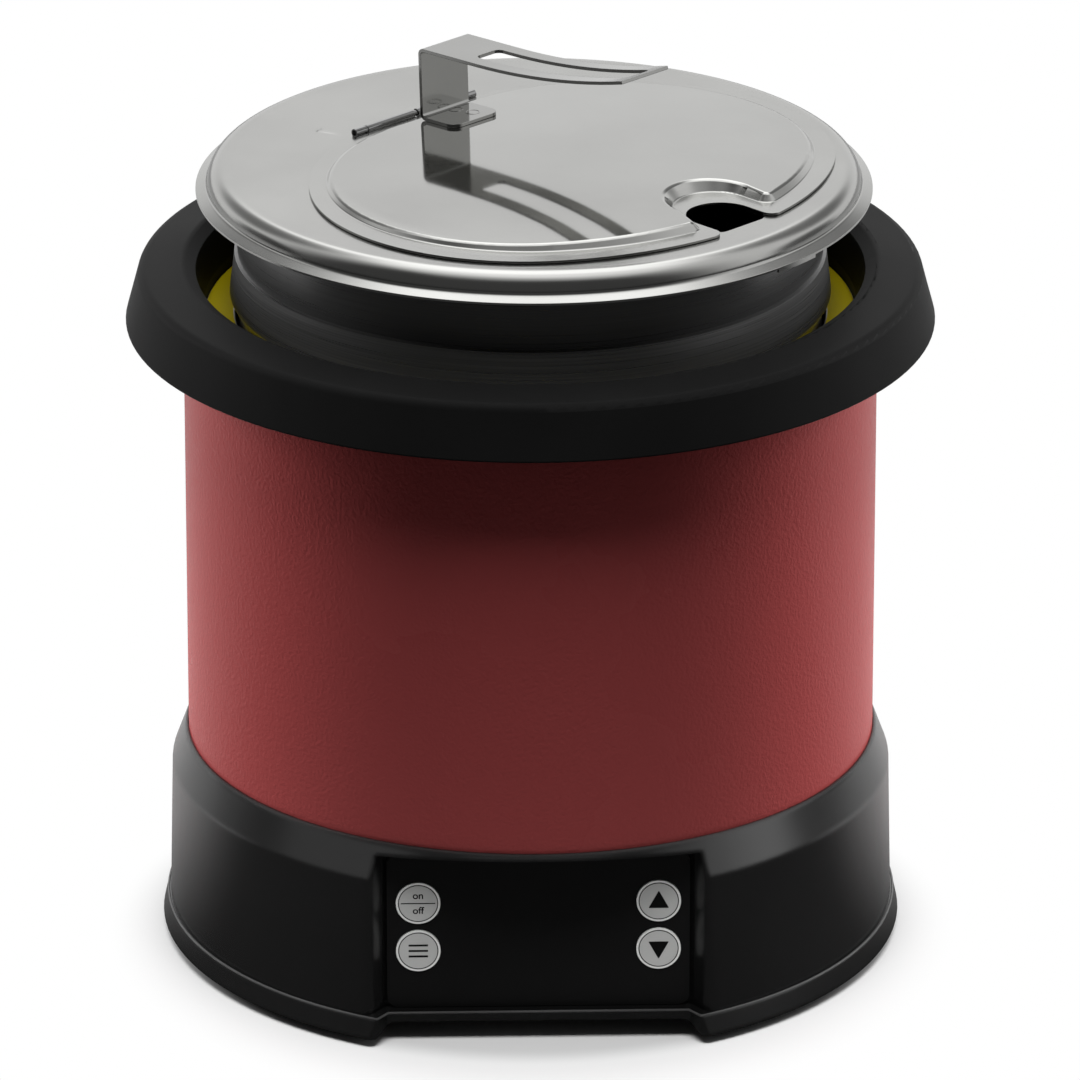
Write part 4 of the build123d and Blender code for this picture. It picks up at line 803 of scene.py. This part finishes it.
# %% Skin over the cover's rim
SKIN = 0.04 * MM
SKIN_WALL = 0.25 * MM
SHEET = 1.0 * MM
FLANGE = 5.0 * MM
FLANGE_SLOPE = radians(20.0)
LID_HEIGHT = 11.4 * MM
SHOULDER_LEAN = 0.8 * MM
SHOULDER_ROUND = 8.0 * MM
FOOT_ROUND = 1.9 * MM
FOOT_PAD = 0.22 * MM
INNER_ROUND, EDGE_ROUND = 2.0 * MM, 0.3 * MM
INNER_RUN, INNER_SINK, EDGE_LIFT = 4.0 * MM, 0.05 * MM, 0.15 * MM
ARC_STEPS, SKIN_STEPS = 10, 256
SHARP_ANGLE = radians(50)
FLAT_SPOT = Vector((-0.0923, 0.0432, 0))


def rounded(points, radii, steps):
    """A line of points with arcs of the given radii at its inner corners."""
    line = [points[0]]
    for before, corner, after, radius in zip(points, points[1:], points[2:], radii):
        to_start, to_end = (before - corner).normalized(), (after - corner).normalized()
        half = to_start.angle(to_end) / 2
        centre = corner + (to_start + to_end).normalized() * radius / sin(half)
        start = corner + to_start * radius / tan(half) - centre
        end = corner + to_end * radius / tan(half) - centre
        turn = [start.slerp(end, step / steps).normalized() for step in range(steps + 1)]
        line += [centre + radius * way for way in turn]
    return line + [points[-1]]


bpy.context.view_layer.update()
lid_low, lid_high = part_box("lid_cover")
lid_radius = (lid_high[1] - lid_low[1]) / 2
lid_middle = Vector(((lid_low[0] + lid_high[0]) / 2, 0, 0))
lid_top = surface_at("lid_cover", FLAT_SPOT)[0].z
foot_radius = lid_radius - FLANGE
edge_top = lid_top - LID_HEIGHT + SHEET / cos(FLANGE_SLOPE)
shoulder = foot_radius - SHOULDER_LEAN
corners = [
    Vector((shoulder - SHOULDER_ROUND - INNER_RUN, lid_top - INNER_SINK)),
    Vector((shoulder - SHOULDER_ROUND, lid_top + SKIN)),
    Vector((shoulder + SKIN, lid_top + SKIN)),
    Vector((foot_radius + FOOT_PAD, edge_top + FLANGE * tan(FLANGE_SLOPE) + FOOT_PAD)),
    Vector((lid_radius + SKIN, edge_top + SKIN)),
    Vector((lid_radius + SKIN, lid_top - LID_HEIGHT + EDGE_LIFT)),
]
radii = (INNER_ROUND, SHOULDER_ROUND, FOOT_ROUND, EDGE_ROUND)
profile = rounded(corners, radii, ARC_STEPS)
bm = bmesh.new()
points = [bm.verts.new(lid_middle + Vector((point.x, 0, point.y))) for point in profile]
runs = [bm.edges.new(pair) for pair in zip(points, points[1:])]
spun(bm, [*points, *runs], lid_middle, SKIN_STEPS)
bmesh.ops.recalc_face_normals(bm, faces=bm.faces)
top_face = max(bm.faces, key=lambda face: face.calc_center_median().z)
if top_face.normal.z < 0:
    bmesh.ops.reverse_faces(bm, faces=bm.faces)
bmesh.ops.solidify(bm, geom=bm.faces[:], thickness=SKIN_WALL)
rim = add_piece("lid_rim", bm, "lid", "lid_steel", finishes["lid_steel"], smooth=True)
rim.data.set_sharp_from_angle(angle=SHARP_ANGLE)
print("rim skin", len(rim.data.polygons), "faces, box", [round(v, 4) for v in rim.dimensions])

# %% [markdown]
# Two spot welds hold the handle's foot, and each leaves a shallow ring. A small
# circle is spun about the weld's middle and sunk by nearly half into the strip.

# %% Weld rings
WELD_RADIUS = 3.0 * MM
WELD_EDGE = 0.30 * MM
WELD_SINK = 0.45
WELD_SIDES, WELD_STEPS = 8, 48
WELD_SPOTS = ((18.3 * MM, 7.7 * MM), (26.8 * MM, 9.8 * MM))
CAST_ABOVE = 10 * MM

for count, (ahead, aside) in enumerate(WELD_SPOTS):
    foot = pin + ahead * along + aside * beside
    spot, normal = surface_at("handle", foot, pin.z + CAST_ABOVE)
    bm = bmesh.new()
    circle = bmesh.ops.create_circle(bm, segments=WELD_SIDES, radius=WELD_EDGE)
    section, upright = circle["verts"], Matrix.Rotation(pi / 2, 3, "X")
    bmesh.ops.rotate(bm, cent=(0, 0, 0), matrix=upright, verts=section)
    bmesh.ops.translate(bm, vec=(WELD_RADIUS, 0, -WELD_SINK * WELD_EDGE), verts=section)
    spun(bm, [*bm.verts, *bm.edges], Vector(), WELD_STEPS)
    place = Matrix.Translation(spot) @ normal.to_track_quat("Z", "Y").to_matrix().to_4x4()
    bmesh.ops.transform(bm, matrix=place, verts=bm.verts)
    name = f"weld_ring_{count}"
    add_piece(name, bm, "flap", "handle_steel", finishes["handle_steel"], smooth=True)
    print("weld ring at", [round(v, 4) for v in spot])

# %% [markdown]
# A shallow mark in the cover runs out from the hinge. It is modelled as a very low
# swelling: a grid drawn out to a taper, raised along its middle and closed below.

# %% Dent
DENT_HEIGHT = 0.15 * MM
DENT_WIDE = 3.0 * MM
DENT_TAPER = 0.85
DENT_LEAD = 0.08
DENT_SKEW = 0.6
DENT_SINK = 0.02 * MM
DENT_END = Vector((-0.0803, 0.0354, 0))
DENT_GRID = (16, 12)

dent_side = UP.cross(DENT_END - FLAT_SPOT).normalized()
bm = bmesh.new()
bmesh.ops.create_grid(bm, x_segments=DENT_GRID[0], y_segments=DENT_GRID[1], size=0.5)
for vert in bm.verts:
    share, across = vert.co.x + 0.5, 2 * vert.co.y
    half = DENT_WIDE * (1 - DENT_TAPER * share)
    swell = sin(pi * min(1.0, DENT_LEAD + share) ** DENT_SKEW)
    vert.co = FLAT_SPOT.lerp(DENT_END, share) + across * half * dent_side
    vert.co.z = lid_top - DENT_SINK + DENT_HEIGHT * swell * cos(across * pi / 2) ** 2
bmesh.ops.holes_fill(bm, edges=[edge for edge in bm.edges if edge.is_boundary], sides=0)
add_piece("lid_dent", bm, "lid", "lid_steel", finishes["lid_steel"], smooth=True)
print("dent at", [round(v, 4) for v in FLAT_SPOT])

# %% [markdown]
# The moulded pan has a rounded lip along its ledge, and its bead is coloured paler
# than the rest as a painted highlight.
# Its path is the outer edge of the ledge, found in a merged copy of the pan's
# mesh, and a thin round bead is swept along it.

# %% Bead along the ledge
BEAD_RADIUS = 0.55 * MM
BEAD_SINK = 0.30 * MM
BEAD_SIDES = 3
MERGE = 1e-6
LEVEL_GAP = 0.01 * MM
FLAT_LEAST, WALL_MOST = 0.95, 0.6

ledge_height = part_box("base_housing")[0].z
bm = bmesh.new()
bm.from_mesh(nodes["base_pan"].data)
bmesh.ops.remove_doubles(bm, verts=bm.verts, dist=MERGE)
bm.normal_update()
lip = []
for edge in bm.edges:
    level = all(abs(vert.co.z - ledge_height) < LEVEL_GAP for vert in edge.verts)
    if not level or len(edge.link_faces) != 2:
        continue
    flat, wall = sorted(edge.link_faces, key=lambda face: -face.normal.z)
    middle = (edge.verts[0].co + edge.verts[1].co) / 2
    outward = wall.normal.dot(Vector((middle.x, middle.y, 0))) > 0
    if flat.normal.z > FLAT_LEAST and wall.normal.z < WALL_MOST and outward:
        lip.append(edge)
ways = {}
for edge in lip:
    for vert, other in (edge.verts, reversed(edge.verts)):
        ways.setdefault(vert, []).append(other)
start = max(ways, key=lambda vert: vert.co.y)
path, before = [start], None
while True:
    onward = [vert for vert in ways[path[-1]] if vert is not before and vert is not path[-1]]
    if not onward or onward[0] is start:
        break
    before = path[-1]
    path.append(onward[0])
curve = bpy.data.curves.new("pan_bead", "CURVE")
curve.dimensions = "3D"
curve.bevel_depth = BEAD_RADIUS
curve.bevel_resolution = BEAD_SIDES
spline = curve.splines.new("POLY")
spline.points.add(len(path) - 1)
spline.use_cyclic_u = True
for point, vert in zip(spline.points, path):
    inward = BEAD_SINK * Vector((vert.co.x, vert.co.y, 0)).normalized()
    point.co = (*(vert.co - inward - BEAD_SINK * UP), 1)
helper = bpy.data.objects.new("pan_bead_path", curve)
mesh = bpy.data.meshes.new_from_object(helper)
print("bead path", len(lip), "edges,", len(path), "points")
bm.clear()
bm.from_mesh(mesh)
bpy.data.objects.remove(helper)
bpy.data.curves.remove(curve)
bpy.data.meshes.remove(mesh)
add_piece("pan_bead", bm, bodies["base_pan"], "base_black", painted_highlight_edge, smooth=True)
